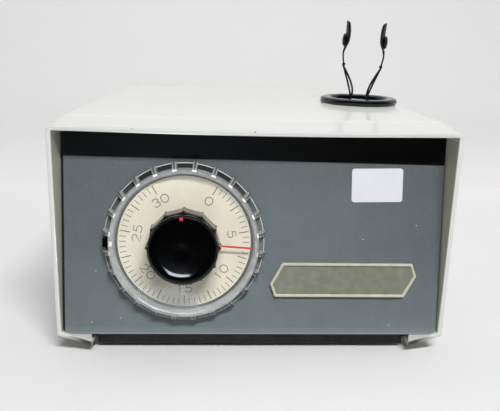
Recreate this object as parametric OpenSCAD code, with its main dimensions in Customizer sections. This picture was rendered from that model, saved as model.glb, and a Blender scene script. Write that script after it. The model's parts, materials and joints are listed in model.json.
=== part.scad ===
// Bench mixer for dental amalgam capsules: a moulded hood over a sheet steel tray,
// a leaning front panel with a clockwork timer, and a motor whose skewed journal
// shakes a spring fork that stands out of the roof through a rubber grommet.
// Millimetres. The part stands on its feet, centred on the origin, and faces -Y.

/* [Case] */
// Width of the hood at its front edge
case_w = 240; // [232:1:250]
// Depth of the hood
case_d = 250; // [244:1:262]
// Height of the roof above the table
case_h = 144; // [142:0.2:147]
// How much narrower each side is at the rear
rear_inset = 20; // [14:1:22]
// Wall thickness of the hood
wall = 2.8; // [2.4:0.1:3.2]
// Outside radius of the long top corners
corner_r = 3.6; // [3.2:0.1:5]
// Outside radius round the rear face
rear_r = 6; // [4:0.5:8]
// Depth of the sloping band along the front of the roof
front_band = 28; // [24:1:36]
// Depth of the sloping band along the rear of the roof
rear_band = 30; // [24:1:36]
// Fall of the roof across the front band
band_drop = 2.9; // [2.4:0.1:3.4]
// Fall of the roof across the rear band
rear_drop = 0.8; // [0.5:0.1:1.5]
// Height of the side walls' lower corners
side_z = 12; // [11:0.5:13]
// Width of each inward bottom flange
flange_w = 21; // [19:0.5:23]
// Height of the flanges' free edges
flange_z = 5; // [5:0.1:6]

/* [Tray] */
// Thickness of the tray's sheet steel
sheet = 1.5; // [1.2:0.1:1.8]
// Height of the tray's underside above the table
tray_z = 3; // [2.5:0.1:3.2]
// Gap between the tray's sides and the flanges' free edges
tray_gap = 1.5; // [1:0.1:2]
// How far the tray's front lip stands behind the hood's front edge
tray_setback = 8; // [7:0.5:9]
// Radius of a rubber foot
foot_r = 9; // [8:0.5:10]
// Distance from the tray's corners to the centre of a foot
foot_margin = 16; // [14:1:20]

/* [Front panel] */
// Thickness of the panel
panel_t = 2.5; // [2:0.1:3]
// Angle that the panel leans back by
panel_lean = 7; // [6:0.5:8]
// How far the panel's lower edge stands behind the hood's front edge
panel_inset = 1.7; // [1.2:0.1:2.2]
// Height of the panel's lower edge
panel_z = 12.4; // [12:0.1:13]
// Gap between the panel and the hood at the sides and the top
panel_gap = 0.8; // [0.5:0.1:1]
// Radius of the panel's lower corners
panel_corner = 4; // [3:0.5:5]

/* [Dial and knobs] */
// Place of the timer's axis from the middle of the panel
dial_x = -42.5; // [-44:0.5:-41]
// Height of the timer's axis up the panel
dial_s = 58.5; // [57.5:0.5:59.5]
// Radius of the cream scale disc
scale_r = 41; // [39:0.5:42]
// Outside radius of the clear preset dial
preset_r = 49.5; // [48:0.5:50]
// Depth of the clear dial's fluted rim
preset_h = 9; // [8:0.5:10]
// Number of flutes round the clear dial
preset_flutes = 24; // [20:1:28]
// Radius of the start knob's grip
grip_r = 22.5; // [21.5:0.5:23.5]
// Height of the start knob's front above the panel
knob_front = 29; // [28:0.5:30.5]
// Number of flutes round the start knob
knob_flutes = 12; // [10:1:14]
// Radius of the start spindle
spindle_r = 3; // [2.5:0.1:3.2]

/* [Plate and label] */
// Middle of the name plate from the middle of the panel
plate_x = 55.7; // [54:0.5:58]
// Height of the name plate's middle up the panel
plate_s = 35.3; // [34:0.5:37]
// Thickness of the name plate's back
plate_t = 1.2; // [1:0.1:1.5]
// Width of the name plate's raised rim
plate_rim = 1.7; // [1.4:0.1:2]
// Width of the blank label
label_w = 31.4; // [30:0.2:33]
// Height of the blank label
label_h = 20.6; // [19:0.2:22]

/* [Drive] */
// Place of the journal's centre from the middle of the case
hub_x = 80; // [79:0.5:81]
// Depth of the journal's centre behind the hood's front edge
hub_d = 122; // [121:0.5:124]
// Height of the motor's axis
hub_z = 72; // [71:0.5:74]
// Turn of the motor, fork and grommet as seen from above
drive_turn = -18; // [-20:1:-15]
// Angle between the journal and the motor's axis
skew = 5; // [3.5:0.5:5.5]
// Turn of the motor at rest, which sets how the fork leans
phase = -27; // [-40:1:-10]
// Radius of the motor
motor_r = 40; // [38:0.5:41]
// Length of the stator's lamination stack
stack_l = 42; // [38:1:44]
// Radius of the motor shaft
shaft_r = 5; // [4.5:0.1:5.5]
// Gap between the rotor and the stator
air_gap = 0.4; // [0.3:0.1:0.6]
// Radius of the skewed journal
journal_r = 12; // [11.5:0.1:12.5]
// Radial clearance of every running fit
run_gap = 0.05; // [0.03:0.01:0.08]

/* [Grommet] */
// Width of the rubber grommet
grommet_w = 57; // [55:0.5:58]
// Depth of the rubber grommet
grommet_d = 50; // [48:0.5:52]
// Width of the grommet's ring
ring_w = 8; // [7.6:0.1:8.4]
// Height of the ring above the roof
ring_h = 4.5; // [4:0.1:5]

/* [Fork] */
// Radius of the fork's spring wire
wire_r = 0.7; // [0.65:0.05:0.85]
// Height of the fork's clamp above the journal's centre
clamp_z = 66; // [65:0.5:67]
// Distance of each jaw from the fork's middle
jaw_x = 14.6; // [14.2:0.1:15]
// Height of a jaw
jaw_h = 22; // [20:0.5:24]
// Width of a jaw
jaw_w = 11; // [10:0.5:12]

/* [Hidden] */

$fn = 48;
// Clearance between pieces that are fixed to each other by a round fit
seat_gap = 0.02;
// Overrun of a cutting solid past the face that it cuts
past = 1;

taper = rear_inset / case_d;
flange_slope = (side_z - flange_z) / flange_w;
slope_cos = 1 / sqrt(1 + flange_slope * flange_slope);

// The knob's front edge and the rear screws set how far the part reaches each way
cap_edge = 5;
cap_dome = 8;
cap_r = grip_r - 2.1;
head_h = 1.4;
dial_depth = panel_inset + dial_s * sin(panel_lean);
// Farthest point of the cap's dome along -Y, found on its quarter ellipse
cap_tilt = atan(cap_edge * cos(panel_lean) / (cap_dome * sin(panel_lean)));
front_reach = (knob_front - cap_edge + cap_edge * sin(cap_tilt)) * cos(panel_lean)
    + (cap_r - cap_dome + cap_dome * cos(cap_tilt)) * sin(panel_lean) - dial_depth;
gland_h = 9;
rear_reach = case_d + sheet + gland_h;
case_y = -(rear_reach - front_reach) / 2;

// Half the hood's width, its roof height and the height of the flanges' inner face
function half_w(y) = case_w / 2 - taper * y;
function roof_z(y) = y < front_band ? case_h - band_drop * (1 - y / front_band)
    : y > case_d - rear_band ? case_h - rear_drop * (y - case_d + rear_band) / rear_band
    : case_h;
function inner_flange_z(x, y) = flange_z + (x - half_w(y) + flange_w) * flange_slope
    + wall / slope_cos;

// One cross-section of the hood at depth y, drawn in by e on every side
function hood_half(y, e, r) = let (
        hw = half_w(y) - e,
        top = roof_z(y) - e,
        low = flange_z + (flange_w - e) * flange_slope + e / slope_cos,
        foot = flange_z + e / slope_cos)
    concat([[half_w(y) - flange_w, foot], [hw, low]],
        [for (a = [0:15:90]) [hw - r + r * cos(a), top - r + r * sin(a)]]);
function mirrored(half) = concat(half,
    [for (i = [len(half) - 1:-1:0]) [-half[i][0], half[i][1]]]);
function hood_section(y, e, r) = mirrored(hood_half(y, e, r));

// Skin over a row of equal cross-sections, each given as [depth, points]
module loft(stations) {
    n = len(stations[0][1]);
    rows = len(stations);
    polyhedron(
        points = [for (s = stations) for (p = s[1]) [p[0], s[0], p[1]]],
        faces = concat(
            [[for (i = [n - 1:-1:0]) i]],
            [[for (i = [0:n - 1]) (rows - 1) * n + i]],
            [for (k = [0:rows - 2]) for (i = [0:n - 1])
                [k * n + i, (k + 1) * n + (i + 1) % n, (k + 1) * n + i]],
            [for (k = [0:rows - 2]) for (i = [0:n - 1])
                [k * n + i, k * n + (i + 1) % n, (k + 1) * n + (i + 1) % n]]));
}

// Solid inside the hood's outline, drawn in by e, from depth start to the rear
module hood_solid(e, start) {
    r = max(corner_r - e, 0.6);
    back_r = rear_r - e;
    straight = [start, front_band, case_d - rear_band];
    loft(concat(
        [for (y = straight) [y, hood_section(y, e, r)]],
        [for (a = [0:15:90]) let (
                y = case_d - rear_r + back_r * sin(a),
                more = back_r * (1 - cos(a)))
            [y, hood_section(y, e + more, max(r - more, 0.3))]]));
}

module in_case() translate([0, case_y, 0]) children();

// X across the panel, Y up it and Z out of its front face
module on_panel() in_case() translate([0, panel_inset, panel_z])
    rotate([90 - panel_lean, 0, 0]) children();
module on_dial() on_panel() translate([dial_x, dial_s, 0]) children();

// X along the motor's axis, towards the fork, from the table below the journal's centre
module drive_frame() translate([hub_x, hub_d, 0]) rotate([0, 0, drive_turn]) children();
module in_drive() in_case() drive_frame() children();

// Z along the motor's axis, from the journal's centre
module on_motor() in_drive() translate([0, 0, hub_z]) rotate([0, 90, 0]) children();

// Axes of the fork's hub, with X along the skewed journal
module on_hub() in_drive() translate([0, 0, hub_z])
    rotate([phase, 0, 0]) rotate([0, 0, skew]) rotate([-phase, 0, 0]) children();

module tube(r, bore, h) difference() {
    cylinder(r = r, h = h);
    translate([0, 0, -past]) cylinder(r = bore, h = h + 2 * past);
}

// Pan-headed screw with its head above z = 0 and its shank below
module screw(r, length) {
    cylinder(r = r * 1.9, h = head_h);
    translate([0, 0, -length]) cylinder(r = r, h = length + seat_gap);
}

// Tube of wire along a list of points that all lie near the X-Z plane
wire_sides = 10;
module wire(points, r) {
    n = len(points);
    function tangent(i) = let (a = points[max(i - 1, 0)], b = points[min(i + 1, n - 1)])
        (b - a) / norm(b - a);
    polyhedron(
        points = [for (i = [0:n - 1]) let (t = tangent(i), u = cross([0, 1, 0], t) /
                norm(cross([0, 1, 0], t)), v = cross(t, u))
            for (k = [0:wire_sides - 1]) let (a = k * 360 / wire_sides)
                points[i] + r * (cos(a) * u + sin(a) * v)],
        faces = concat(
            [[for (k = [0:wire_sides - 1]) k]],
            [[for (k = [wire_sides - 1:-1:0]) (n - 1) * wire_sides + k]],
            [for (i = [0:n - 2]) for (k = [0:wire_sides - 1]) let (m = (k + 1) % wire_sides)
                [i * wire_sides + k, (i + 1) * wire_sides + m, i * wire_sides + m]],
            [for (i = [0:n - 2]) for (k = [0:wire_sides - 1]) let (m = (k + 1) % wire_sides)
                [i * wire_sides + k, (i + 1) * wire_sides + k, (i + 1) * wire_sides + m]]));
}

// Grommet
// The fork leans by this much, so the grommet is centred on the post where it passes
fork_lean = skew * sin(-phase);
grommet_x = (case_h - hub_z) * tan(fork_lean);
oval_run = grommet_w - grommet_d;
// The neck sits in the roof just outside the ring's bore, and the lip grips its underside
neck_r = grommet_d / 2 - ring_w + 0.3;
neck_in = 1;
neck_t = 3;
lip_h = 2;
hole_r = neck_r + neck_t + seat_gap;

module at_grommet() in_drive() translate([grommet_x, 0, case_h]) children();

// A section swept round an oval, where x is measured from the ends' centres
module oval_sweep() {
    for (side = [0, 1]) mirror([side, 0, 0]) translate([oval_run / 2, 0, 0])
        rotate([0, 0, -90]) rotate_extrude(angle = 180) children();
    for (turn = [0, 180]) rotate([0, 0, turn]) rotate([90, 0, 90])
        linear_extrude(height = oval_run, center = true) children();
}

module hood() color([0.93, 0.93, 0.91]) in_case() difference() {
    hood_solid(0, 0);
    hood_solid(wall, -past);
    // The bottom is open between the two flanges
    translate([0, 0, -past]) linear_extrude(height = side_z + past) polygon([
        [-half_w(-past) + flange_w, -past],
        [half_w(-past) - flange_w, -past],
        [half_w(case_d - rear_r) - flange_w, case_d - rear_r],
        [-half_w(case_d - rear_r) + flange_w, case_d - rear_r]]);
    // Oval hole for the grommet's neck
    drive_frame() translate([grommet_x, 0, case_h - wall - past])
        linear_extrude(height = wall + 2 * past) {
            square([oval_run, 2 * hole_r], center = true);
            for (side = [-1, 1]) translate([side * oval_run / 2, 0]) circle(r = hole_r);
        }
    // Rear opening behind the rear plate, and its screw holes
    translate([-rear_open_w / 2, case_d - wall - past, rear_open_z])
        cube([rear_open_w, wall + 2 * past, rear_open_h]);
    at_rear_screws() translate([0, 0, -wall - past])
        cylinder(r = screw_r + seat_gap, h = wall + 2 * past);
    at_hood_screws() translate([0, 0, -hood_screw_l - past])
        cylinder(r = screw_r + seat_gap, h = hood_screw_l + 2 * past);
}

// Rear plate and its fastenings
rear_open_w = 110;
rear_open_h = 60;
rear_open_z = 30;
plate_lap = 10;
screw_r = 1.5;

// Z out of the rear face, at each corner of the rear plate
module at_rear_screws() for (x = [-1, 1], z = [-1, 1])
    translate([x * (rear_open_w + plate_lap) / 2, case_d,
        rear_open_z + rear_open_h / 2 + z * (rear_open_h + plate_lap) / 2])
        rotate([-90, 0, 0]) children();

// Gland in the rear plate, with its bore for a lead
gland_x = -38;
gland_z = 44;
gland_r = 8;
gland_bore = 3.7;
gland_neck = 6;
gland_nut = 4;

// Row of cooling slots in the rear plate, beside the gland
rear_vents = 7;
rear_vent_x = -8;
rear_vent_w = 3.5;
rear_vent_h = 40;
rear_vent_pitch = 9;

module rear_plate() color([0.55, 0.56, 0.56]) in_case() difference() {
    translate([-rear_open_w / 2 - plate_lap, case_d, rear_open_z - plate_lap])
        cube([rear_open_w + 2 * plate_lap, sheet, rear_open_h + 2 * plate_lap]);
    at_rear_screws() translate([0, 0, -past])
        cylinder(r = screw_r + seat_gap, h = sheet + 2 * past);
    translate([gland_x, case_d - past, gland_z]) rotate([-90, 0, 0])
        cylinder(r = gland_neck + seat_gap, h = sheet + 2 * past);
    for (i = [0:rear_vents - 1])
        translate([rear_vent_x + i * rear_vent_pitch, case_d - past,
            rear_open_z + (rear_open_h - rear_vent_h) / 2])
            cube([rear_vent_w, sheet + 2 * past, rear_vent_h]);
}

module rear_plate_screws() color([0.75, 0.75, 0.73]) in_case()
    at_rear_screws() translate([0, 0, sheet]) screw(screw_r, 8);

module cord_gland() color([0.07, 0.07, 0.07]) in_case()
    translate([gland_x, case_d, gland_z]) rotate([-90, 0, 0]) difference() {
        union() {
            translate([0, 0, sheet]) cylinder(r1 = gland_r, r2 = gland_r - 2, h = gland_h);
            translate([0, 0, -gland_nut / 2])
                cylinder(r = gland_neck, h = sheet + gland_nut / 2 + past);
            translate([0, 0, -gland_nut]) cylinder(r = gland_r - 0.5, h = gland_nut);
        }
        translate([0, 0, -gland_nut - past])
            cylinder(r = gland_bore, h = gland_nut + sheet + gland_h + 2 * past);
    }

// Tray
tray_back = 8;
tray_end = case_d - tray_back;
lip_top = panel_z;
lip_in = 4;
rear_lip = 12;
ledge_d = 16;
wing_w = 14;

// Sections of the tray's side wall and of the wing that lies on the flange
function tray_x(y) = half_w(y) - flange_w - tray_gap;
function tray_wall(y) = let (x = tray_x(y))
    [[x - sheet, tray_z], [x, tray_z], [x, inner_flange_z(x, y) + sheet / 2],
        [x - sheet, inner_flange_z(x - sheet, y) + sheet / 2]];
function tray_wing(y) = let (x = tray_x(y) - sheet, out = tray_x(y) + wing_w)
    [[x, inner_flange_z(x, y)], [out, inner_flange_z(out, y)],
        [out, inner_flange_z(out, y) + sheet], [x, inner_flange_z(x, y) + sheet]];

// Places of the four feet on the tray
module at_feet() for (side = [-1, 1], y = [tray_setback + foot_margin,
    tray_end - foot_margin])
    translate([side * (half_w(y) - flange_w - foot_margin), y, 0]) children();

mount_r = 7;
mount_h = 14;
mount_in = 10;
mount_out = 15;
mount_y = 36;
cradle_z = tray_z + sheet + mount_h;
module at_mounts() for (x = [cradle_x0 + mount_in, cradle_x1 - mount_out], y = [-1, 1])
    translate([x, y * mount_y, tray_z + sheet]) children();

// Row of cooling slots in the floor, clear of the rubber mounts
vents = 5;
vent_x = -8;
vent_y = 118;
vent_w = 4;
vent_l = 35;
vent_pitch = 12;

module base_pan() color([0.12, 0.12, 0.13]) in_case() difference() {
    union() {
        translate([0, 0, tray_z]) linear_extrude(height = sheet) polygon([
            [-tray_x(tray_setback), tray_setback], [tray_x(tray_setback), tray_setback],
            [tray_x(tray_end), tray_end], [-tray_x(tray_end), tray_end]]);
        for (side = [0, 1]) mirror([side, 0, 0]) {
            loft([for (y = [tray_setback, tray_end]) [y, tray_wall(y)]]);
            loft([for (y = [tray_setback, tray_end]) [y, tray_wing(y)]]);
        }
        // Front lip, with the ledge that the panel stands on
        translate([-half_w(0) + flange_w + lip_in, tray_setback, tray_z])
            cube([case_w - 2 * (flange_w + lip_in), sheet, lip_top - tray_z]);
        translate([-half_w(0) + flange_w + lip_in, tray_setback, lip_top - sheet])
            cube([case_w - 2 * (flange_w + lip_in), ledge_d, sheet]);
        translate([-half_w(tray_end) + flange_w + lip_in, tray_end - sheet, tray_z])
            cube([2 * (half_w(tray_end) - flange_w - lip_in), sheet, rear_lip]);
    }
    at_feet() cylinder(r = foot_neck + seat_gap, h = tray_z + sheet + past);
    for (i = [0:vents - 1]) translate([vent_x + i * vent_pitch, vent_y, 0])
        cube([vent_w, vent_l, tray_z + sheet + past]);
    at_panel_screws() translate([0, 0, -6]) cylinder(r = screw_r + seat_gap, h = 8);
    at_hood_screws() translate([0, 0, -hood_screw_l - past])
        cylinder(r = screw_r + seat_gap, h = hood_screw_l + past);
}

foot_neck = 4;
module feet() color([0.05, 0.05, 0.05]) in_case() at_feet() {
    cylinder(r1 = foot_r - 1, r2 = foot_r, h = tray_z);
    cylinder(r = foot_neck, h = tray_z + sheet + 1);
    translate([0, 0, tray_z + sheet]) cylinder(r1 = foot_neck + 1.5, r2 = foot_neck, h = 2.5);
}

// Screws up through the flanges into the tray's wings, square to the flange
hood_screw_l = 7;
hood_screw_y = 40;
module at_hood_screws() for (side = [0, 1], y = [hood_screw_y, case_d - hood_screw_y - 10])
    mirror([side, 0, 0])
    let (x = half_w(y) - flange_w + 7)
    translate([x, y, flange_z + (x - half_w(y) + flange_w) * flange_slope])
        rotate([-atan(flange_slope * taper * slope_cos), 180 - atan(flange_slope), 0])
            children();
module hood_screws() color([0.75, 0.75, 0.73]) in_case() at_hood_screws()
    screw(screw_r, hood_screw_l);

// Front panel: its side edges follow the hood's walls
function panel_y(s) = panel_inset + s * sin(panel_lean);
panel_len = (case_h - band_drop - wall - panel_gap - panel_z) / cos(panel_lean);
function panel_half(s) = half_w(panel_y(s)) - wall - panel_gap;
plate_pin_r = 1.2;
plate_pin_x = 30;

module panel_outline() polygon(mirrored(concat(
    [for (a = [-90:15:0]) [
        panel_half(0) - panel_corner + panel_corner * cos(a),
        panel_corner + panel_corner * sin(a)]],
    [[panel_half(panel_len), panel_len]])));

panel_screw_in = 50;
panel_screw_x = case_w / 2 - panel_screw_in;
module at_panel_screws() for (x = [-panel_screw_x, 0, panel_screw_x])
    translate([x, tray_setback + ledge_d / 2 + 1, panel_z + sheet]) children();

module front_panel() color([0.38, 0.4, 0.41]) difference() {
    union() {
        on_panel() translate([0, 0, -panel_t]) linear_extrude(height = panel_t)
            panel_outline();
        // Bottom return that stands on the tray's ledge
        in_case() translate([-half_w(0) + flange_w + 2, panel_inset + panel_t / 2, panel_z])
            cube([case_w - 2 * flange_w - 4, tray_setback + ledge_d - panel_inset
                - panel_t / 2, sheet]);
    }
    on_dial() translate([0, 0, -panel_t - past])
        cylinder(r = bush_r + 0.3, h = panel_t + 2 * past);
    for (x = [-1, 1]) on_panel() translate([plate_x + x * plate_pin_x, plate_s, -panel_t - past])
        cylinder(r = plate_pin_r + seat_gap, h = panel_t + 2 * past);
    in_case() at_panel_screws() translate([0, 0, -4])
        cylinder(r = screw_r + seat_gap, h = 8);
}

module panel_screws() color([0.75, 0.75, 0.73]) in_case() at_panel_screws()
    screw(screw_r, 5);

// Stays that hold the panel's lean, standing on the tray's floor
stay_top = 104;
stay_back = 62;
// They stand just inside the tray's tapering sides
stay_x = tray_x(stay_back) - sheet - 3;
function panel_back(z) = panel_inset + (z - panel_z) * tan(panel_lean)
    + panel_t / cos(panel_lean);
module panel_stays() color([0.6, 0.61, 0.62]) in_case() for (side = [-1, 1])
    translate([side * stay_x - sheet / 2, 0, 0]) rotate([90, 0, 90])
        linear_extrude(height = sheet) polygon([
            [tray_setback + ledge_d + 2, tray_z + sheet],
            [stay_back, tray_z + sheet],
            [stay_back, tray_z + sheet + 8],
            [panel_back(stay_top) + 6, stay_top],
            [panel_back(stay_top), stay_top],
            [panel_back(18), 18],
            [tray_setback + ledge_d + 2, 18]]);

module grommet() color([0.05, 0.05, 0.06]) at_grommet() {
    mid = grommet_d / 2 - ring_w / 2;
    round_r = min(ring_h, ring_w) / 2;
    oval_sweep() polygon(concat(
        [for (a = [-30:15:90]) [
            mid + ring_w / 2 - round_r + round_r * cos(a),
            ring_h - round_r + round_r * sin(a)]],
        [for (a = [90:15:210]) [
            mid - ring_w / 2 + round_r + round_r * cos(a),
            ring_h - round_r + round_r * sin(a)]],
        [[neck_r, 0], [neck_r, -wall - lip_h], [neck_r + neck_t, -wall - lip_h],
            [neck_r + neck_t + neck_in, -wall], [neck_r + neck_t, -wall],
            [neck_r + neck_t, 0], [mid + ring_w / 2 - 1, 0]]));
}

// Name plate: a six-sided plate, the same after half a turn
plate_half = [[42.7, 10.7], [45.6, 2.6], [38.3, -10.7]];
rim_h = 1;
module plate_outline() polygon(concat(plate_half, -plate_half));
module name_plate() color([0.75, 0.75, 0.68]) on_panel() translate([plate_x, plate_s, 0]) {
    linear_extrude(height = plate_t) plate_outline();
    linear_extrude(height = plate_t + rim_h) difference() {
        plate_outline();
        offset(delta = -plate_rim) plate_outline();
    }
    for (x = [-1, 1]) translate([x * plate_pin_x, 0, -panel_t - 1])
        cylinder(r = plate_pin_r, h = panel_t + 1.5);
}

// The label keeps its distance from the panel's right edge
label_side = 45.7;
label_x = case_w / 2 - label_side;
label_s = 94.6;
label_r = 1.8;
label_t = 0.3;
label_turn = 1.2;
module blank_label() color([0.93, 0.93, 0.95]) on_panel()
    translate([label_x, label_s, 0]) rotate([0, 0, label_turn])
        linear_extrude(height = label_t) offset(r = label_r)
            square([label_w - 2 * label_r, label_h - 2 * label_r], center = true);

// Timer, from its disc in front of the panel to its switch behind
scale_t = 0.8;
scale_hole = 10;
bush_r = 6;
sleeve_r = 4.5;
nut_af = 16;
nut_h = 2;
timer_r = 31;
timer_depth = 32;
timer_wall = 1.6;
timer_front = -panel_t;
timer_back = timer_front - timer_depth;

module scale_disc() color([0.88, 0.85, 0.77]) on_dial() difference() {
    cylinder(r = scale_r, h = scale_t, $fn = 96);
    translate([0, 0, -past]) cylinder(r = scale_hole, h = scale_t + 2 * past);
}

module timer_case() color([0.72, 0.66, 0.45]) on_dial() translate([0, 0, timer_back])
    difference() {
        cylinder(r = timer_r, h = timer_depth);
        translate([0, 0, -past]) cylinder(r = timer_r - timer_wall,
            h = timer_depth - timer_wall + past);
        cylinder(r = bush_r + seat_gap, h = timer_depth + past);
    }

module timer_cover() color([0.7, 0.7, 0.7]) on_dial()
    translate([0, 0, timer_back - timer_wall]) difference() {
        cylinder(r = timer_r, h = timer_wall);
        translate([0, 0, -past]) cylinder(r = spindle_r + run_gap, h = timer_wall + 2 * past);
        translate([wheel_gap_x, 0, -past])
            cylinder(r = arbor_r + run_gap, h = timer_wall + 2 * past);
    }

bush_in = 1.5;
module timer_bush() color([0.75, 0.62, 0.32]) on_dial() difference() {
    union() {
        translate([0, 0, timer_front - timer_wall - bush_in])
            cylinder(r = bush_r + 3, h = bush_in);
        translate([0, 0, timer_front - timer_wall - bush_in / 2])
            cylinder(r = bush_r, h = timer_wall + panel_t + bush_in / 2 + nut_h + 0.6);
    }
    translate([0, 0, -20]) cylinder(r = sleeve_r + run_gap, h = 40);
}

module timer_nut() color([0.75, 0.62, 0.32]) on_dial() difference() {
    cylinder(d = nut_af / cos(30), h = nut_h, $fn = 6);
    translate([0, 0, -past]) cylinder(r = bush_r + seat_gap, h = nut_h + 2 * past);
}

// Switch on the timer's rear cover, with its three flat terminals
switch_x = -27;
switch_s = 5;
switch_w = 28;
switch_d = 16;
switch_h = 12;
tab_w = 0.8;
tab_d = 6;
tab_l = 6;
module timer_switch() color([0.12, 0.1, 0.1]) on_dial()
    translate([switch_x, switch_s, timer_back - timer_wall - switch_h]) {
        cube([switch_w, switch_d, switch_h]);
        for (i = [0:2]) translate([4 + i * 10 - tab_w / 2, (switch_d - tab_d) / 2, -tab_l])
            cube([tab_w, tab_d, tab_l + past]);
    }

// Clear preset dial: a thin disc in a deep fluted rim
disc_z = nut_h + 1.2;
disc_t = 2;
rim_in = scale_r + 0.8;
rim_z = 0.9;
flute_r = 1.9;
flute_inset = 0.4;
module preset_dial() color([0.85, 0.88, 0.88, 0.35]) on_dial() difference() {
    union() {
        translate([0, 0, rim_z]) cylinder(r = preset_r - 1.2, h = preset_h - rim_z, $fn = 96);
        for (i = [0:preset_flutes - 1]) rotate([0, 0, (i + 0.5) * 360 / preset_flutes])
            translate([preset_r - flute_r, 0, rim_z + flute_inset])
                cylinder(r = flute_r, h = preset_h - rim_z - 2 * flute_inset, $fn = 24);
    }
    translate([0, 0, disc_z + disc_t])
        cylinder(r1 = rim_in, r2 = rim_in + 1, h = preset_h, $fn = 96);
    translate([0, 0, -past]) cylinder(r = rim_in, h = disc_z + past, $fn = 96);
    translate([0, 0, -past]) cylinder(r = sleeve_r + seat_gap, h = preset_h + 2 * past);
}

// The pointer lies on the clear disc
pointer_turn = 93.8;
pointer_w = 1.1;
module preset_pointer() color([0.75, 0.1, 0.07]) on_dial() rotate([0, 0, -pointer_turn])
    translate([-pointer_w / 2, sleeve_r + 2, disc_z + disc_t])
        cube([pointer_w, rim_in - sleeve_r - 3.4, 0.3]);

// The sleeve carries the clear disc, and its lever sets the stop behind the panel
lever_l = 14;
lever_w = 4;
lever_t = 1.5;
module preset_sleeve() color([0.75, 0.62, 0.32]) on_dial() {
    low = timer_front - timer_wall - bush_in - 4;
    translate([0, 0, low])
        tube(sleeve_r, spindle_r + run_gap, disc_z + disc_t - low);
    translate([0, 0, low]) difference() {
        union() {
            cylinder(r = sleeve_r + 2, h = lever_t);
            translate([0, -lever_w / 2, 0]) cube([lever_l, lever_w, lever_t]);
        }
        translate([0, 0, -past]) cylinder(r = sleeve_r - 0.5, h = 4);
    }
}

// Start knob: fluted grip, glossy cap, red dot
knob_z = disc_z + disc_t + 1;
cap_h = 8.5;
knob_bore_top = knob_front - cap_h - 2;
module start_knob() color([0.06, 0.06, 0.06]) on_dial() difference() {
    translate([0, 0, knob_z]) cylinder(r = grip_r, h = knob_front - cap_h - knob_z, $fn = 96);
    for (i = [0:knob_flutes - 1]) rotate([0, 0, (i + 0.5) * 360 / knob_flutes])
        translate([grip_r + 1.4, 0, 0]) cylinder(r = 3.2, h = knob_front, $fn = 24);
    cylinder(r = spindle_r + seat_gap, h = knob_bore_top);
    translate([0, 0, set_screw_z]) rotate([0, 90, 0])
        cylinder(r = screw_r + seat_gap, h = grip_r + past);
}

// The dot sits in a pocket square to the cap's dome, at this angle of its ellipse
dot_r = 1.1;
dot_in = 0.5;
dot_out = 0.2;
dot_up = 52;
dot_tilt = atan(cap_edge * cos(dot_up) / (cap_dome * sin(dot_up)));
module at_dot() translate([0, cap_r - cap_dome * (1 - cos(dot_up)),
    knob_front - cap_edge * (1 - sin(dot_up))])
    rotate([-dot_tilt, 0, 0]) translate([0, 0, -dot_in]) children();

module knob_cap() color([0.04, 0.04, 0.04]) on_dial() difference() {
    translate([0, 0, knob_front - cap_h]) rotate_extrude($fn = 96) polygon(concat(
        [[0, 0], [cap_r, 0]],
        [for (a = [0:15:90]) [
            cap_r - cap_dome + cap_dome * cos(a), cap_h - cap_edge + cap_edge * sin(a)]],
        [[5, cap_h], [4, cap_h - 0.7], [0, cap_h - 0.7]]));
    at_dot() cylinder(r = dot_r + seat_gap, h = dot_in + past, $fn = 24);
}

module knob_dot() color([0.8, 0.12, 0.12]) on_dial() at_dot()
    cylinder(r = dot_r, h = dot_in + dot_out, $fn = 24);

set_screw_z = knob_z + 4;
module knob_set_screw() color([0.5, 0.5, 0.5]) on_dial() translate([0, 0, set_screw_z])
    rotate([0, 90, 0]) translate([0, 0, spindle_r + seat_gap])
        cylinder(r = screw_r, h = 8);

module timer_spindle() color([0.7, 0.7, 0.72]) on_dial() {
    low = timer_back - timer_wall - 1;
    translate([0, 0, low]) cylinder(r = spindle_r, h = knob_bore_top - 0.3 - low);
}

// Clockwork: the main wheel drives the escape wheel's pinion
tooth = 1.9;
main_teeth = 40;
pinion_teeth = 10;
wheel_t = 2.5;
wheel_z = timer_back + 20;
arbor_r = 1.5;
// Centre distance of the two wheels, opened a little for play
main_pitch = main_teeth * tooth / (2 * PI);
pinion_pitch = pinion_teeth * tooth / (2 * PI);
mesh_play = 0.12;
wheel_gap_x = main_pitch + pinion_pitch + mesh_play;
escape_r = 8;
escape_t = 1.2;
escape_teeth = 15;

// Toothed outline with a tooth centred on +X
module teeth(count, pitch_r) {
    circle(r = pitch_r - tooth * 0.36, $fn = 4 * count);
    for (i = [0:count - 1]) rotate(i * 360 / count) polygon([
        [pitch_r - tooth * 0.4, -tooth * 0.27], [pitch_r, -tooth * 0.19],
        [pitch_r + tooth * 0.24, -tooth * 0.09], [pitch_r + tooth * 0.24, tooth * 0.09],
        [pitch_r, tooth * 0.19], [pitch_r - tooth * 0.4, tooth * 0.27]]);
}

module main_wheel() color([0.78, 0.66, 0.35]) on_dial() translate([0, 0, wheel_z])
    linear_extrude(height = wheel_t) difference() {
        teeth(main_teeth, main_pitch);
        circle(r = spindle_r + seat_gap);
    }

module escape_wheel() color([0.78, 0.66, 0.35]) on_dial()
    translate([wheel_gap_x, 0, 0]) {
        translate([0, 0, wheel_z]) linear_extrude(height = wheel_t)
            rotate(180 / pinion_teeth) teeth(pinion_teeth, pinion_pitch);
        translate([0, 0, timer_back - timer_wall - 1])
            cylinder(r = arbor_r, h = wheel_z + wheel_t + 1.7 - timer_back + timer_wall + 1);
        // The toothed disc passes just over the main wheel
        translate([0, 0, wheel_z + wheel_t + 0.3]) difference() {
            cylinder(r = escape_r, h = escape_t);
            for (i = [0:escape_teeth - 1]) rotate([0, 0, i * 360 / escape_teeth])
                translate([escape_r + 0.4, 0, -past])
                    cylinder(r = 1.1, h = escape_t + 2 * past, $fn = 16);
        }
    }

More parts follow.
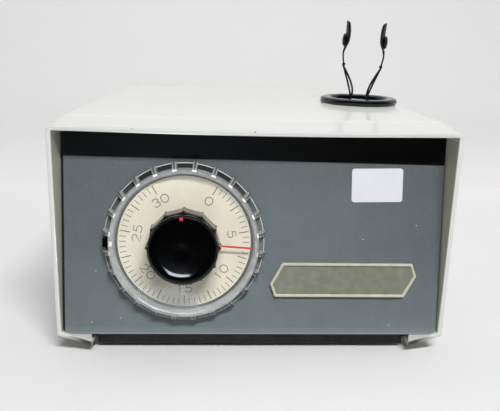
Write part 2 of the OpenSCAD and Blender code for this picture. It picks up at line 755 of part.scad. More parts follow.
spring_turns = 5.5;
spring_pitch = 1.7;
spring_t = 0.6;
spring_in = spindle_r + spring_t + 2 * seat_gap;
module mainspring() color([0.35, 0.36, 0.4]) on_dial() translate([0, 0, wheel_z - 12])
    linear_extrude(height = 8) polygon(concat(
        [for (a = [0:15:spring_turns * 360]) let (r = spring_in + spring_pitch * a / 360)
            r * [cos(a), sin(a)]],
        [for (a = [spring_turns * 360:-15:0])
            let (r = spring_in - spring_t + spring_pitch * a / 360) r * [cos(a), sin(a)]]));

// Motor, measured along its axis from the journal's centre
bell_l = 14;
bell_end = 4;
bell_near = -34;
stack_near = bell_near - bell_l;
stack_far = stack_near - stack_l;
bell_far = stack_far - bell_l;
bearing_r = 13;
bearing_w = 7;
stator_in = 22;
bolt_at = motor_r - 3.8;
bolt_r = 2;
fan_w = 11;
fan_gap = 3;
hub_wall = 5;
shaft_end = 17;
bolt_head_r = 3.4;
bolt_head_h = 2;

module at_bolts() for (a = [45:90:315]) rotate([0, 0, a])
    translate([bolt_at, 0, 0]) children();

module stator() color([0.45, 0.46, 0.48]) on_motor() translate([0, 0, stack_far])
    difference() {
        tube(motor_r, stator_in, stack_l);
        at_bolts() translate([0, 0, -past]) cylinder(r = bolt_r + seat_gap, h = stack_l + 2 * past);
    }

winding_l = bell_l - bell_end - 3;
module stator_windings() color([0.65, 0.32, 0.15]) on_motor() {
    translate([0, 0, stack_near]) tube(motor_r - 8, stator_in + 1, winding_l);
    translate([0, 0, stack_far - winding_l]) tube(motor_r - 8, stator_in + 1, winding_l);
}

// Cup-shaped end bell with its open side at z = 0 and its bearing in the far wall
module end_bell() difference() {
    union() {
        tube(motor_r, motor_r - 7.5, bell_l);
        translate([0, 0, bell_l - bell_end]) cylinder(r = motor_r - past, h = bell_end);
        translate([0, 0, bell_l - bearing_w - 2]) cylinder(r = bearing_r + 4, h = bearing_w);
    }
    translate([0, 0, bell_l - bearing_w - 2 - past])
        cylinder(r = bearing_r + seat_gap, h = bearing_w + past);
    cylinder(r = shaft_r + 1.5, h = bell_l + past);
    at_bolts() translate([0, 0, -past]) cylinder(r = bolt_r + seat_gap, h = bell_l + 2 * past);
}
module right_end_bell() color([0.62, 0.63, 0.64]) on_motor()
    translate([0, 0, stack_near]) end_bell();
module left_end_bell() color([0.62, 0.63, 0.64]) on_motor()
    translate([0, 0, stack_far]) rotate([180, 0, 0]) end_bell();

module motor_bearings() color([0.8, 0.8, 0.82]) on_motor() {
    translate([0, 0, bell_near - 2 - bearing_w]) tube(bearing_r, shaft_r + run_gap, bearing_w);
    translate([0, 0, bell_far + 2]) tube(bearing_r, shaft_r + run_gap, bearing_w);
}

module tie_bolts() color([0.5, 0.5, 0.52]) on_motor() at_bolts() {
    translate([0, 0, bell_far - bolt_head_h])
        cylinder(r = bolt_r, h = bell_near - bell_far + 2 * bolt_head_h);
    translate([0, 0, bell_near]) cylinder(r = bolt_head_r, h = bolt_head_h);
    translate([0, 0, bell_far - bolt_head_h]) cylinder(r = bolt_head_r, h = bolt_head_h);
}

module motor_shaft() color([0.75, 0.76, 0.78]) on_motor()
    translate([0, 0, bell_far - fan_gap - fan_w])
        cylinder(r = shaft_r, h = shaft_end - bell_far + fan_gap + fan_w);

module rotor_core() color([0.5, 0.5, 0.52]) on_motor() translate([0, 0, stack_far + 1])
    tube(stator_in - air_gap, shaft_r + seat_gap, stack_l - 2);

fan_r = 32;
fan_blades = 9;
fan_t = 1.6;
module cooling_fan() color([0.2, 0.2, 0.22]) on_motor()
    translate([0, 0, bell_far - fan_gap - fan_w]) difference() {
        union() {
            cylinder(r = shaft_r + hub_wall, h = fan_w);
            cylinder(r = fan_r, h = fan_t);
            for (i = [0:fan_blades - 1]) rotate([0, 0, i * 360 / fan_blades])
                translate([shaft_r + 2, -fan_t / 2, 0])
                    cube([fan_r - shaft_r - 3, fan_t, fan_w - 1]);
        }
        translate([0, 0, -past]) cylinder(r = shaft_r + seat_gap, h = fan_w + 2 * past);
    }

// Half-round weight opposite the fork's throw
weight_at = -30;
weight_r = 21;
weight_t = 9;
module balance_weight() color([0.6, 0.6, 0.6]) on_motor() translate([0, 0, weight_at])
    difference() {
        union() {
            cylinder(r = shaft_r + hub_wall, h = weight_t);
            intersection() {
                cylinder(r = weight_r, h = weight_t);
                translate([0, -weight_r, 0]) cube([weight_r, 2 * weight_r, weight_t]);
            }
        }
        translate([0, 0, -past]) cylinder(r = shaft_r + seat_gap, h = weight_t + 2 * past);
    }

journal_l = 25;
module skew_journal() color([0.72, 0.72, 0.74]) difference() {
    on_hub() rotate([0, 90, 0]) cylinder(r = journal_r, h = journal_l, center = true);
    on_motor() cylinder(r = shaft_r + seat_gap, h = 3 * journal_l, center = true);
}

// Fork hub and bearing on the skewed journal
hub_w = 16;
hub_bearing_r = journal_r + 7;
hub_r = hub_bearing_r + 6;
tail_r = 3;
tail_l = 47;
boss_w = 14;
boss_h = 6;
fork_bearing_w = 14;
module fork_bearing() color([0.8, 0.8, 0.82]) on_hub() rotate([0, 90, 0])
    translate([0, 0, -fork_bearing_w / 2])
        tube(hub_bearing_r, journal_r + run_gap, fork_bearing_w);

module fork_hub() color([0.66, 0.67, 0.68]) on_hub() difference() {
    union() {
        rotate([0, 90, 0]) translate([0, 0, -hub_w / 2]) cylinder(r = hub_r, h = hub_w);
        translate([-boss_w / 2, -boss_w / 2, 0]) cube([boss_w, boss_w, hub_r + boss_h]);
        translate([0, 0, -tail_l]) cylinder(r = tail_r, h = tail_l);
    }
    rotate([0, 90, 0]) cylinder(r = hub_bearing_r + seat_gap, h = 2 * hub_w, center = true);
    translate([0, 0, hub_r]) cylinder(r = post_r + seat_gap, h = boss_h + past);
}

post_r = 3.5;
module fork_post() color([0.75, 0.76, 0.78]) on_hub() translate([0, 0, hub_r])
    cylinder(r = post_r, h = clamp_z - hub_r);

// Clamp block between the two spring arms
clamp_w = 10.8;
clamp_d = 9;
clamp_h = 8.5;
module fork_clamp() color([0.85, 0.86, 0.87]) on_hub()
    translate([-clamp_w / 2, -clamp_d / 2, clamp_z]) cube([clamp_w, clamp_d, clamp_h]);

// Spring arms, drawn for the right side and mirrored for the left
arm_x = clamp_w / 2 + wire_r + seat_gap;
arm_low = clamp_z + 1;
arm_bend = clamp_z + clamp_h + 2;
ferrule_x = 13.6;
ferrule_z = clamp_z + 33.8;
ferrule_w = 2.2;
ferrule_d = 3.8;
ferrule_h = 1.6;
jaw_z = ferrule_z + 9.2;
wire_apart = wire_r + 0.15;

// A wire that leaves the clamp straight, bows soon by the given amount on its way up
// and ends upright under the ferrule
arm_tip = 1.5;
arm_bow = 2;
function arm_path(y, bow) = concat(
    [for (z = [arm_low, arm_bend - 2]) [arm_x, y, z]],
    [for (i = [0:8]) let (t = i / 8)
        [arm_x + (ferrule_x - arm_x) * pow(t, 1.15) - bow * sin(180 * sqrt(t)),
            y, arm_bend + (ferrule_z - arm_tip - arm_bend) * t]],
    [[ferrule_x, y, ferrule_z]]);

module arm_wires() {
    wire(arm_path(-wire_apart, 0), wire_r);
    wire(arm_path(wire_apart, arm_bow), wire_r);
}

// Sheet between two grids of points, given as rows from the bottom up
module thick_sheet(outer, inner) {
    rows = len(outer) - 1;
    cols = len(outer[0]) - 1;
    function a(i, k) = i * (cols + 1) + k;
    function b(i, k) = (rows + 1) * (cols + 1) + a(i, k);
    function quad(p, q, r, s) = [[p, q, r], [p, r, s]];
    polyhedron(
        points = concat([for (row = outer) for (p = row) p], [for (row = inner) for (p = row) p]),
        faces = concat(
            [for (i = [0:rows - 1]) for (k = [0:cols - 1])
                for (f = quad(a(i, k), a(i + 1, k), a(i + 1, k + 1), a(i, k + 1))) f],
            [for (i = [0:rows - 1]) for (k = [0:cols - 1])
                for (f = quad(b(i, k), b(i, k + 1), b(i + 1, k + 1), b(i + 1, k))) f],
            [for (k = [0:cols - 1])
                for (f = quad(a(0, k), a(0, k + 1), b(0, k + 1), b(0, k))) f],
            [for (k = [0:cols - 1])
                for (f = quad(a(rows, k + 1), a(rows, k), b(rows, k), b(rows, k + 1))) f],
            [for (i = [0:rows - 1])
                for (f = quad(a(i + 1, 0), a(i, 0), b(i, 0), b(i + 1, 0))) f],
            [for (i = [0:rows - 1])
                for (f = quad(a(i, cols), a(i + 1, cols), b(i + 1, cols), b(i, cols))) f]));
}

// Middle line of a jaw: it bows inwards a little and its tip flares out again
jaw_bow = 0.5;
jaw_lean = 0.5;
function jaw_mid(t) = jaw_x - jaw_bow * sin(180 * t) - jaw_lean * t;
jaw_t = 1.1;
jaw_dish = 2.4;
jaw_steps = 10;
jaw_across = 5;
// Round domed pad on the outer face, at this share of the jaw's height
pad_r = 4.6;
pad_t = 2.4;
pad_edge = 0.6;
pad_at = 0.38;
// Leaf-shaped blade, dished towards the capsule, on a stem that rises from a ferrule
module jaw() {
    function half(t) = jaw_w / 2 * (0.22 + 0.78 * sin(180 * min(t * 0.86 + 0.1, 1)));
    function grid(x) = [for (i = [0:jaw_steps]) let (t = i / jaw_steps)
        [for (k = [-jaw_across:jaw_across]) let (u = k / jaw_across)
            [jaw_mid(t) + x - jaw_dish * u * u * 2 * half(t) / jaw_w, u * half(t),
                jaw_z + jaw_h * t]]];
    thick_sheet(grid(jaw_t), grid(0));
    stem_x = ferrule_x + 0.5;
    stem_z = ferrule_z + ferrule_h - 0.5;
    wire([for (i = [0:6]) let (t = i / 6)
        [stem_x + (jaw_x + jaw_t / 2 - stem_x) * sin(90 * t), 0,
            stem_z + (jaw_z + 2 - stem_z) * t]], wire_r);
    translate([ferrule_x - ferrule_w / 2, -ferrule_d / 2, ferrule_z])
        cube([ferrule_w, ferrule_d, ferrule_h]);
    translate([jaw_mid(pad_at) + jaw_t / 2, 0, jaw_z + pad_at * jaw_h]) rotate([0, 90, 0])
        rotate_extrude() polygon(concat([[0, 0], [pad_r, 0]],
            [for (a = [0:15:90])
                [pad_r * cos(a), pad_edge + (pad_t - pad_edge) * sin(a)]]));
}

module left_arm_wires() color([0.06, 0.06, 0.07]) on_hub() mirror([1, 0, 0]) arm_wires();
module right_arm_wires() color([0.06, 0.06, 0.07]) on_hub() arm_wires();
module left_jaw() color([0.06, 0.06, 0.07]) on_hub() mirror([1, 0, 0]) jaw();
module right_jaw() color([0.06, 0.06, 0.07]) on_hub() jaw();

// Cradle under the motor, on rubber mounts
cradle_half = 45;
cradle_x0 = bell_far - 4;
cradle_x1 = bell_near + 6;
cradle_t = 2;
saddle_w = 9;
saddle_top = 48;
module at_saddles() for (z = [bell_near - bell_l / 2 - saddle_w / 2,
    bell_far + bell_l / 2 - saddle_w / 2]) translate([z, 0, 0]) children();

module vibration_mounts() color([0.1, 0.1, 0.1]) in_drive() at_mounts()
    cylinder(r = mount_r, h = mount_h);

module motor_cradle() color([0.55, 0.56, 0.58]) in_drive() difference() {
    union() {
        translate([cradle_x0, -cradle_half, cradle_z])
            cube([cradle_x1 - cradle_x0, 2 * cradle_half, cradle_t]);
        // Tongue that carries the tail guide
        translate([cradle_x1 - past, -tongue_half, cradle_z])
            cube([guide_l / 2 + 2 * past - cradle_x1, 2 * tongue_half, cradle_t]);
        at_saddles() translate([0, -cradle_half, cradle_z])
            cube([saddle_w, 2 * cradle_half, saddle_top - cradle_z]);
    }
    translate([cradle_x0 - past, 0, hub_z]) rotate([0, 90, 0])
        cylinder(r = motor_r + seat_gap, h = cradle_x1 - cradle_x0 + 2 * past);
}

strap_t = 1.5;
module motor_straps() color([0.6, 0.61, 0.62]) in_drive() at_saddles() difference() {
    union() {
        translate([0, 0, hub_z]) rotate([0, 90, 0])
            cylinder(r = motor_r + seat_gap + strap_t, h = saddle_w);
        translate([0, -cradle_half, saddle_top]) cube([saddle_w, 2 * cradle_half, strap_t]);
    }
    translate([-past, 0, hub_z]) rotate([0, 90, 0])
        cylinder(r = motor_r + seat_gap, h = saddle_w + 2 * past);
    translate([-past, -motor_r - 20, 0])
        cube([saddle_w + 2 * past, 2 * motor_r + 40, saddle_top]);
}

// Slotted guide that stops the fork's hub from spinning with the journal
guide_l = 22;
guide_w = 18;
guide_h = 15;
guide_gap = 0.6;
tongue_half = 12;
module tail_guide() color([0.12, 0.12, 0.12]) in_drive()
    translate([-guide_l / 2, 0, cradle_z + cradle_t]) difference() {
        translate([0, -guide_w / 2, 0]) cube([guide_l, guide_w, guide_h]);
        translate([-past, -tail_r - guide_gap, 2])
            cube([guide_l + 2 * past, 2 * (tail_r + guide_gap), guide_h]);
    }

// Electrical parts on the tray's floor
cap_can_r = 15;
cap_can_l = 52;
cap_can_back = 112;
cap_can_side = 10.5;
cap_can_y = case_d - cap_can_back;
cap_can_x = -tray_x(cap_can_y) + cap_can_r + cap_can_side;
module capacitor() color([0.8, 0.8, 0.82]) in_case()
    translate([cap_can_x, cap_can_y, tray_z + sheet + cap_can_r + 2]) rotate([-90, 0, 0]) {
        cylinder(r = cap_can_r, h = cap_can_l);
        for (x = [-5, 5]) translate([x - tab_w / 2, -tab_d / 2, -tab_l])
            cube([tab_w, tab_d, tab_l + past]);
    }

clip_w = 14;
clip_t = 1.4;
clip_foot = 4;
module capacitor_clip() color([0.6, 0.61, 0.62]) in_case()
    translate([cap_can_x, cap_can_y + (cap_can_l - clip_w) / 2, tray_z + sheet]) difference() {
        union() {
            translate([0, 0, cap_can_r + 2]) rotate([-90, 0, 0])
                cylinder(r = cap_can_r + clip_t, h = clip_w);
            translate([-cap_can_r - clip_foot, 0, 0])
                cube([2 * (cap_can_r + clip_foot), clip_w, clip_t]);
            translate([-6, 0, 0]) cube([12, clip_w, 6]);
        }
        translate([0, -past, cap_can_r + 2]) rotate([-90, 0, 0])
            cylinder(r = cap_can_r + seat_gap, h = clip_w + 2 * past);
    }

block_w = 40;
block_d = 20;
block_h = 16;
block_ways = 4;
block_pitch = 9.5;
block_hole = 2.6;
block_x = gland_x - 21;
block_back = 26;
module terminal_block() color([0.85, 0.84, 0.78]) in_case()
    translate([block_x, tray_end - block_d - block_back, tray_z + sheet]) difference() {
        cube([block_w, block_d, block_h]);
        for (i = [0:block_ways - 1])
            translate([block_w / 2 + (i - (block_ways - 1) / 2) * block_pitch, block_d / 2,
                block_h / 3])
                cylinder(r = block_hole, h = block_h);
    }

hood();
base_pan();
front_panel();
panel_stays();
panel_screws();
rear_plate();
rear_plate_screws();
cord_gland();
feet();
hood_screws();
grommet();
name_plate();
blank_label();
scale_disc();
timer_case();
timer_cover();
timer_bush();
timer_nut();
timer_switch();
vibration_mounts();
motor_cradle();
motor_straps();
stator();
stator_windings();
left_end_bell();
right_end_bell();
motor_bearings();
tie_bolts();
tail_guide();
capacitor();
capacitor_clip();
terminal_block();
preset_dial();
preset_pointer();
preset_sleeve();
start_knob();
knob_cap();
knob_dot();
knob_set_screw();
timer_spindle();
main_wheel();
mainspring();
escape_wheel();
motor_shaft();
rotor_core();
cooling_fan();
balance_weight();
skew_journal();
fork_bearing();
fork_hub();
fork_post();
fork_clamp();
left_arm_wires();
left_jaw();
right_arm_wires();
right_jaw();
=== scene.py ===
"""Looks of a bench mixer for dental capsules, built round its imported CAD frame.

Lengths are millimetres, measured as in the part's source: x from the middle of the case,
y from the hood's front edge and z from the table. The matrices below, from CASE to FORK,
turn them into the frame.
"""
import json
import math
from functools import partial

import bmesh
import bpy
from mathutils import Matrix, Vector


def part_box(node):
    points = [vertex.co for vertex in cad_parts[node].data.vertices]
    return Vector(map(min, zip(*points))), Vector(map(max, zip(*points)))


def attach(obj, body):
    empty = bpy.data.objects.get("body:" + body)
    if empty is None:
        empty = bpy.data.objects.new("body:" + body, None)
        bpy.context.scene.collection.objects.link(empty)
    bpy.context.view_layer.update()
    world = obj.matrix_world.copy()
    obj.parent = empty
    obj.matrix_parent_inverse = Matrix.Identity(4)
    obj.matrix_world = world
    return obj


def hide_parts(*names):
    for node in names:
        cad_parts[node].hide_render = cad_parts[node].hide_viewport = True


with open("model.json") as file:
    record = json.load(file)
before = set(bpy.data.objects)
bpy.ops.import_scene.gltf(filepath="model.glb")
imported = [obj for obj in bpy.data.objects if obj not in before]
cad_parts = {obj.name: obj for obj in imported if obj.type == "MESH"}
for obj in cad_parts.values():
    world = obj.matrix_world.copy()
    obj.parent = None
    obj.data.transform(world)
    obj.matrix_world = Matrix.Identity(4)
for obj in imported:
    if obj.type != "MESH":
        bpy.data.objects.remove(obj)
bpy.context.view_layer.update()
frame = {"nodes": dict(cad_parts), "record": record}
nodes = frame["nodes"]

MM = 0.001
CASE_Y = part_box("hood")[0].y / MM

# Case
CASE_W, CASE_D, CASE_H = 240, 250, 144
REAR_INSET = 20
WALL = 2.8
CORNER_R, REAR_R = 3.6, 6
FRONT_BAND, BAND_DROP = 28, 2.9
REAR_BAND, REAR_DROP = 30, 0.8
SIDE_Z = 12
FLANGE_W, FLANGE_Z = 21, 5
WEB_Y, WEB_T = 1.4, 0.8
REAR_OPENING, REAR_LOW, REAR_HIGH = 110, 30, 90
SAG = 1.3
SAG_REACH = 42
LINING_TOP = CASE_H - BAND_DROP - WALL - SAG - 1

# Panel and dial
PANEL_LEAN, PANEL_INSET, PANEL_Z = 7, 1.7, 12.4
DIAL_X, DIAL_S = -42.5, 58.5
SCALE_T, PRESET_LOW = 0.8, 0.9
DISC_Z, DISC_T, DISC_R, DISC_HOLE = 3.2, 2, 41.85, 4.55
RIBS, FACETS = 24, 12
RIB_PITCH, FACET_PITCH = 360 / RIBS, 360 / FACETS
NOTCH, NOTCH_HALF = 270, 3.4
RIM_TOP, RING_IN, RING_OUT, FLANGE_IN = 8.9, 41.9, 45.0, 44.75
KNOB_Z, KNOB_FRONT, CAP_H = 6.2, 29, 8.5

# Drive
HUB = (80, 122, 72)
DRIVE_TURN, SKEW, PHASE = -18, 5, -27
GROMMET_W, GROMMET_D, RING_W, RING_H = 57, 50, 8, 4.5
NECK_R, NECK_T = GROMMET_D / 2 - RING_W + 0.3, 3
LIP_Z = -WALL - 2

TAPER = REAR_INSET / CASE_D
SLOPE = (SIDE_Z - FLANGE_Z) / FLANGE_W
SLOPE_COS = 1 / math.hypot(1, SLOPE)


def rad(degrees):
    return math.radians(degrees)


def moved(*place):
    return Matrix.Translation(place)


def turned(degrees, axis):
    return Matrix.Rotation(rad(degrees), 4, axis)


# Frames of the parts, for points in millimetres
CASE = moved(0, CASE_Y * MM, 0) @ Matrix.Scale(MM, 4)
PANEL = CASE @ moved(0, PANEL_INSET, PANEL_Z) @ turned(90 - PANEL_LEAN, "X")
DIAL = PANEL @ moved(DIAL_X, DIAL_S, 0)
DRIVE = CASE @ moved(HUB[0], HUB[1], 0) @ turned(DRIVE_TURN, "Z")
FORK = (DRIVE @ moved(0, 0, HUB[2]) @ turned(PHASE, "X") @ turned(SKEW, "Z")
        @ turned(-PHASE, "X"))


# Shader graphs
def new_node(tree, kind, **settings):
    made = tree.nodes.new(kind)
    for key, value in settings.items():
        setattr(made, key, value)
    return made


class Paint:
    """A Principled material and the few nodes that its textures are made from."""

    def __init__(self, name, roughness=0.5, metallic=0.0, ior=1.5, coat=0.0):
        self.material = bpy.data.materials.new(name)
        self.material.use_nodes = True
        self.tree = self.material.node_tree
        self.bsdf = self.tree.nodes["Principled BSDF"]
        self.bsdf.inputs["Roughness"].default_value = roughness
        self.bsdf.inputs["Metallic"].default_value = metallic
        self.bsdf.inputs["IOR"].default_value = ior
        self.bsdf.inputs["Coat Weight"].default_value = coat
        self.bsdf.inputs["Coat Roughness"].default_value = 0.08
        self.coords = self.node("ShaderNodeTexCoord").outputs["Object"]

    def node(self, kind, **settings):
        return new_node(self.tree, kind, **settings)

    def link(self, source, target):
        self.tree.links.new(source, target)

    def stretched(self, scale):
        mapping = self.node("ShaderNodeMapping")
        mapping.inputs["Scale"].default_value = scale
        self.link(self.coords, mapping.inputs["Vector"])
        return mapping.outputs["Vector"]

    def noise(self, size, detail=4.0, roughness=0.55, vector=None):
        """Noise whose features are about size millimetres wide."""
        made = self.node("ShaderNodeTexNoise")
        made.inputs["Scale"].default_value = 1 / (size * MM)
        made.inputs["Detail"].default_value = detail
        made.inputs["Roughness"].default_value = roughness
        self.link(vector or self.coords, made.inputs["Vector"])
        return made.outputs["Fac"]

    def remap(self, value, low, high, out_low=0.0, out_high=1.0):
        made = self.node("ShaderNodeMapRange")
        self.link(value, made.inputs["Value"])
        ends = {"From Min": low, "From Max": high, "To Min": out_low, "To Max": out_high}
        for socket, end in ends.items():
            made.inputs[socket].default_value = end
        return made.outputs["Result"]

    def clouds(self, size, detail=5, low=0.0, high=1.0):
        """Soft clouds that run from low to high."""
        return self.remap(self.noise(size, detail), 0.3, 0.7, low, high)

    def haze(self, size, detail):
        """Rougher clouds, like the dullness of worn plastic."""
        return self.remap(self.noise(size, detail, 0.7), 0.35, 0.75)

    def mix(self, factor, first, second):
        made = self.node("ShaderNodeMix", data_type="RGBA")
        self.link(factor, made.inputs["Factor"])
        for socket, colour in ((made.inputs["A"], first), (made.inputs["B"], second)):
            if isinstance(colour, tuple):
                socket.default_value = (*colour, 1)
            else:
                self.link(colour, socket)
        return made.outputs["Result"]

    def layered(self, colour, *layers):
        """Lays tones over a colour, each through its own mask."""
        for mask, tone in layers:
            colour = self.mix(mask, colour, tone)
        return colour

    def maths(self, operation, first, second):
        made = self.node("ShaderNodeMath", operation=operation)
        for socket, value in zip(made.inputs, (first, second)):
            if isinstance(value, (int, float)):
                socket.default_value = value
            else:
                self.link(value, socket)
        return made.outputs["Value"]

    def all_of(self, *masks):
        """Product of masks, so 1 only where each of them is 1."""
        whole = masks[0]
        for mask in masks[1:]:
            whole = self.maths("MULTIPLY", whole, mask)
        return whole

    def along(self, matrix, axis):
        """Place along one axis of a frame, in its own millimetres."""
        row = matrix.inverted()[axis]
        made = self.node("ShaderNodeVectorMath", operation="DOT_PRODUCT")
        self.link(self.coords, made.inputs[0])
        made.inputs[1].default_value = row[:3]
        return self.maths("ADD", made.outputs["Value"], row[3])

    def near(self, point, radius):
        """1 inside a small spot round a point of the frame, fading to 0 at its edge."""
        made = self.node("ShaderNodeVectorMath", operation="DISTANCE")
        self.link(self.coords, made.inputs[0])
        made.inputs[1].default_value = point
        return self.remap(made.outputs["Value"], radius * MM, radius * MM * 0.6)

    def colour(self, source):
        self.link(source, self.bsdf.inputs["Base Color"])

    def rough(self, source):
        self.link(source, self.bsdf.inputs["Roughness"])

    def bump(self, height, depth):
        """Bump whose height of 1 stands depth millimetres proud."""
        made = self.node("ShaderNodeBump")
        made.inputs["Strength"].default_value = 1
        made.inputs["Distance"].default_value = depth * MM
        self.link(height, made.inputs["Height"])
        self.link(made.outputs["Normal"], self.bsdf.inputs["Normal"])


def shade(colour, factor):
    return tuple(min(c * factor, 1) for c in colour)


def spotted(paint, colour, points, radius, spot_colour):
    """Small marks of wear at given points of the frame."""
    for point in points:
        colour = paint.mix(paint.near(point, radius), colour, spot_colour)
    return colour


def hood_paint():
    paint = Paint("hood_white", roughness=0.34, ior=1.5, coat=0.4)
    base = (0.745, 0.755, 0.732)
    colour = paint.mix(paint.clouds(60, 3), base, (0.755, 0.75, 0.712))
    colour = paint.mix(paint.remap(paint.noise(2.5, 6, 0.7), 0.62, 0.85, 0, 0.12), colour,
                       shade(base, 0.85))
    across = paint.maths("ABSOLUTE", paint.along(CASE, 0), 0)
    back, high = paint.along(CASE, 1), paint.along(CASE, 2)
    # Painted shade: the front slope of the roof a little darker, and a darker grey line where it
    # meets the lip
    painted_brow_shade = paint.all_of(paint.remap(back, FRONT_BAND, FRONT_BAND - 6, 0, 0.8),
                         paint.remap(high, CASE_H - 6, CASE_H - 5))
    colour = paint.mix(painted_brow_shade, colour, shade(base, 0.9))
    line = paint.all_of(paint.remap(back, 2.0, 1.2, 0, 0.9), paint.remap(back, 0.1, 0.3))
    colour = paint.mix(line, colour, shade(base, 0.72))
    # Darker, yellower inner faces of the side walls
    inside = paint.maths("ADD", across, paint.maths("MULTIPLY", back, TAPER))
    face = CASE_W / 2 - WALL
    lining = paint.all_of(paint.remap(inside, face + 0.5, face + 0.2),
                          paint.remap(high, LINING_TOP, LINING_TOP - 1),
                          paint.remap(high, 13, 14), paint.remap(back, 0.3, 0.8))
    colour = paint.mix(lining, colour, (0.60, 0.60, 0.49))
    colour = spotted(paint, colour, hood_chips(), 0.8, (0.12, 0.10, 0.08))
    # Painted shade on the front edge of the two lower flanges, which faces down, away from the
    # light
    painted_flange_shade = paint.all_of(paint.remap(across, 117, 104), paint.remap(high, 12.3, 11.3),
                        paint.remap(back, 0.35, 0.15))
    colour = paint.mix(painted_flange_shade, colour, (0.03, 0.027, 0.02))
    paint.colour(colour)
    paint.rough(paint.clouds(18, 5, 0.3, 0.4))
    paint.bump(paint.noise(1.6, 3), 0.003)
    return paint.material


def hood_chips():
    """Chips along the front edge and specks on the roof that the photo shows."""
    marks = [(-72, 0, CASE_H - BAND_DROP - 0.3), (-2, 0, CASE_H - BAND_DROP - 1.2),
             (118.6, 4, 58), (-16, 60, CASE_H), (-12, 57, CASE_H), (-1, 64, CASE_H)]
    return [CASE @ Vector(mark) for mark in marks]


def panel_paint():
    paint = Paint("panel_grey", roughness=0.5, ior=1.25)
    base, middle = (0.118, 0.130, 0.140), (0.142, 0.172, 0.178)
    across = paint.along(PANEL, 0)
    up = paint.along(PANEL, 1)
    centred = paint.remap(paint.maths("ABSOLUTE", across, 0), 105, 35)
    clouds = paint.remap(paint.noise(16, 6, 0.62), 0.3, 0.7, 0, 0.34)
    grain = paint.remap(paint.noise(0.9, 3), 0.35, 0.7, 0, 0.25)
    painted_shadow_rise = paint.maths("ADD", up, paint.maths("MULTIPLY", across, 0.0105))
    aside = paint.maths("ADD", across, paint.maths("MULTIPLY", up, -0.0098))
    colour = paint.layered(
        base, (centred, middle),
        # Painted light and shade: lighter towards the bottom, darker towards the top under the
        # hood's front
        (paint.remap(up, 60, 0, 0, 0.7), shade(middle, 1.3)),
        (paint.remap(up, 75, 108, 0, 0.5), shade(base, 0.8)),
        (clouds, shade(base, 0.75)), (grain, shade(middle, 1.3)),
        # Painted highlight along the lower bend, where the edge catches the light
        (paint.remap(up, 4.6, 3.8, 0, 0.22), shade(middle, 1.8)),
        (paint.remap(up, 1.2, 0.7, 0, 0.9), (0.28, 0.29, 0.29)),
        # Painted shadow of the hood's front: a black band along the panel's top, its lower edge
        # sloping like the shadow's edge
        (paint.remap(painted_shadow_rise, 108.2, 108.7), (0.003, 0.003, 0.0035)),
        # Painted shade of the gap along the panel's left side
        (paint.remap(aside, -115.0, -115.4), (0.006, 0.007, 0.007)))
    flecks = [(-99, 7.5), (-81.5, 10), (86, 6), (67, 61), (-96, 40), (100, 70)]
    places = [PANEL @ Vector((x, s, 0)) for x, s in flecks]
    colour = spotted(paint, colour, places, 0.45, (0.55, 0.56, 0.56))
    paint.colour(colour)
    paint.rough(paint.clouds(7, 5, 0.44, 0.58))
    paint.bump(paint.noise(0.7, 3), 0.012)
    return paint.material


def plain_paint(name, base, roughness, size=8.0, spread=0.12, bump=0.01, ior=1.5,
                metallic=0.0):
    """A moulded or painted surface: soft clouds of colour, uneven gloss and a fine grain."""
    paint = Paint(name, roughness, metallic, ior)
    paint.colour(paint.mix(paint.clouds(size), shade(base, 1 - spread),
                           shade(base, 1 + spread)))
    paint.rough(paint.clouds(size * 0.6, 5, roughness * 0.8, min(roughness * 1.25, 1)))
    paint.bump(paint.noise(0.6, 3), bump)
    return paint.material


def metal_paint(name, base, roughness, grain=(1, 1, 14)):
    """Metal with fine lines drawn across one axis and faint tarnish."""
    paint = Paint(name, roughness, metallic=1.0)
    lines = paint.noise(2.2, 6, 0.7, paint.stretched(grain))
    tarnish = paint.remap(paint.noise(9, 5), 0.4, 0.75)
    streaks = paint.mix(paint.remap(lines, 0.3, 0.7), shade(base, 0.86), shade(base, 1.08))
    paint.colour(paint.mix(paint.maths("MULTIPLY", tarnish, 0.35), streaks, shade(base, 0.6)))
    paint.rough(paint.remap(lines, 0.3, 0.7, roughness * 0.75, roughness * 1.3))
    paint.bump(lines, 0.006)
    return paint.material


def lamination_paint():
    """Stacked sheets, seen as fine bands across the motor's axis."""
    paint = Paint("lamination", roughness=0.5, metallic=0.8)
    axial = paint.along(DRIVE, 0)
    band = paint.maths("PINGPONG", axial, 0.5)
    colour = paint.mix(paint.remap(band, 0.1, 0.4), (0.10, 0.10, 0.105), (0.26, 0.265, 0.27))
    paint.colour(colour)
    paint.bump(paint.remap(band, 0, 0.5), 0.15)
    return paint.material


def winding_paint():
    """Varnished copper wire laid round the motor's axis, with painted shade in the grooves
    between the turns.
    """
    paint = Paint("winding_copper", roughness=0.3, metallic=0.7, coat=0.6)
    wires = paint.maths("PINGPONG", paint.along(DRIVE, 0), 0.4)
    copper = (0.42, 0.13, 0.04)
    tone = paint.mix(paint.clouds(6, 4), copper, (0.62, 0.24, 0.09))
    paint.colour(paint.mix(paint.remap(wires, 0, 0.4), shade(copper, 0.35), tone))
    paint.bump(paint.remap(wires, 0, 0.4), 0.3)
    return paint.material


def scale_paint():
    paint = Paint("scale_cream", roughness=0.45)
    paint.bsdf.inputs["Specular IOR Level"].default_value = 0.1
    base = (0.84, 0.79, 0.64)
    paint.colour(paint.mix(paint.clouds(14), shade(base, 1.03), shade(base, 0.94)))
    paint.rough(paint.clouds(5, 4, 0.38, 0.52))
    paint.bump(paint.noise(0.5, 2), 0.006)
    return paint.material


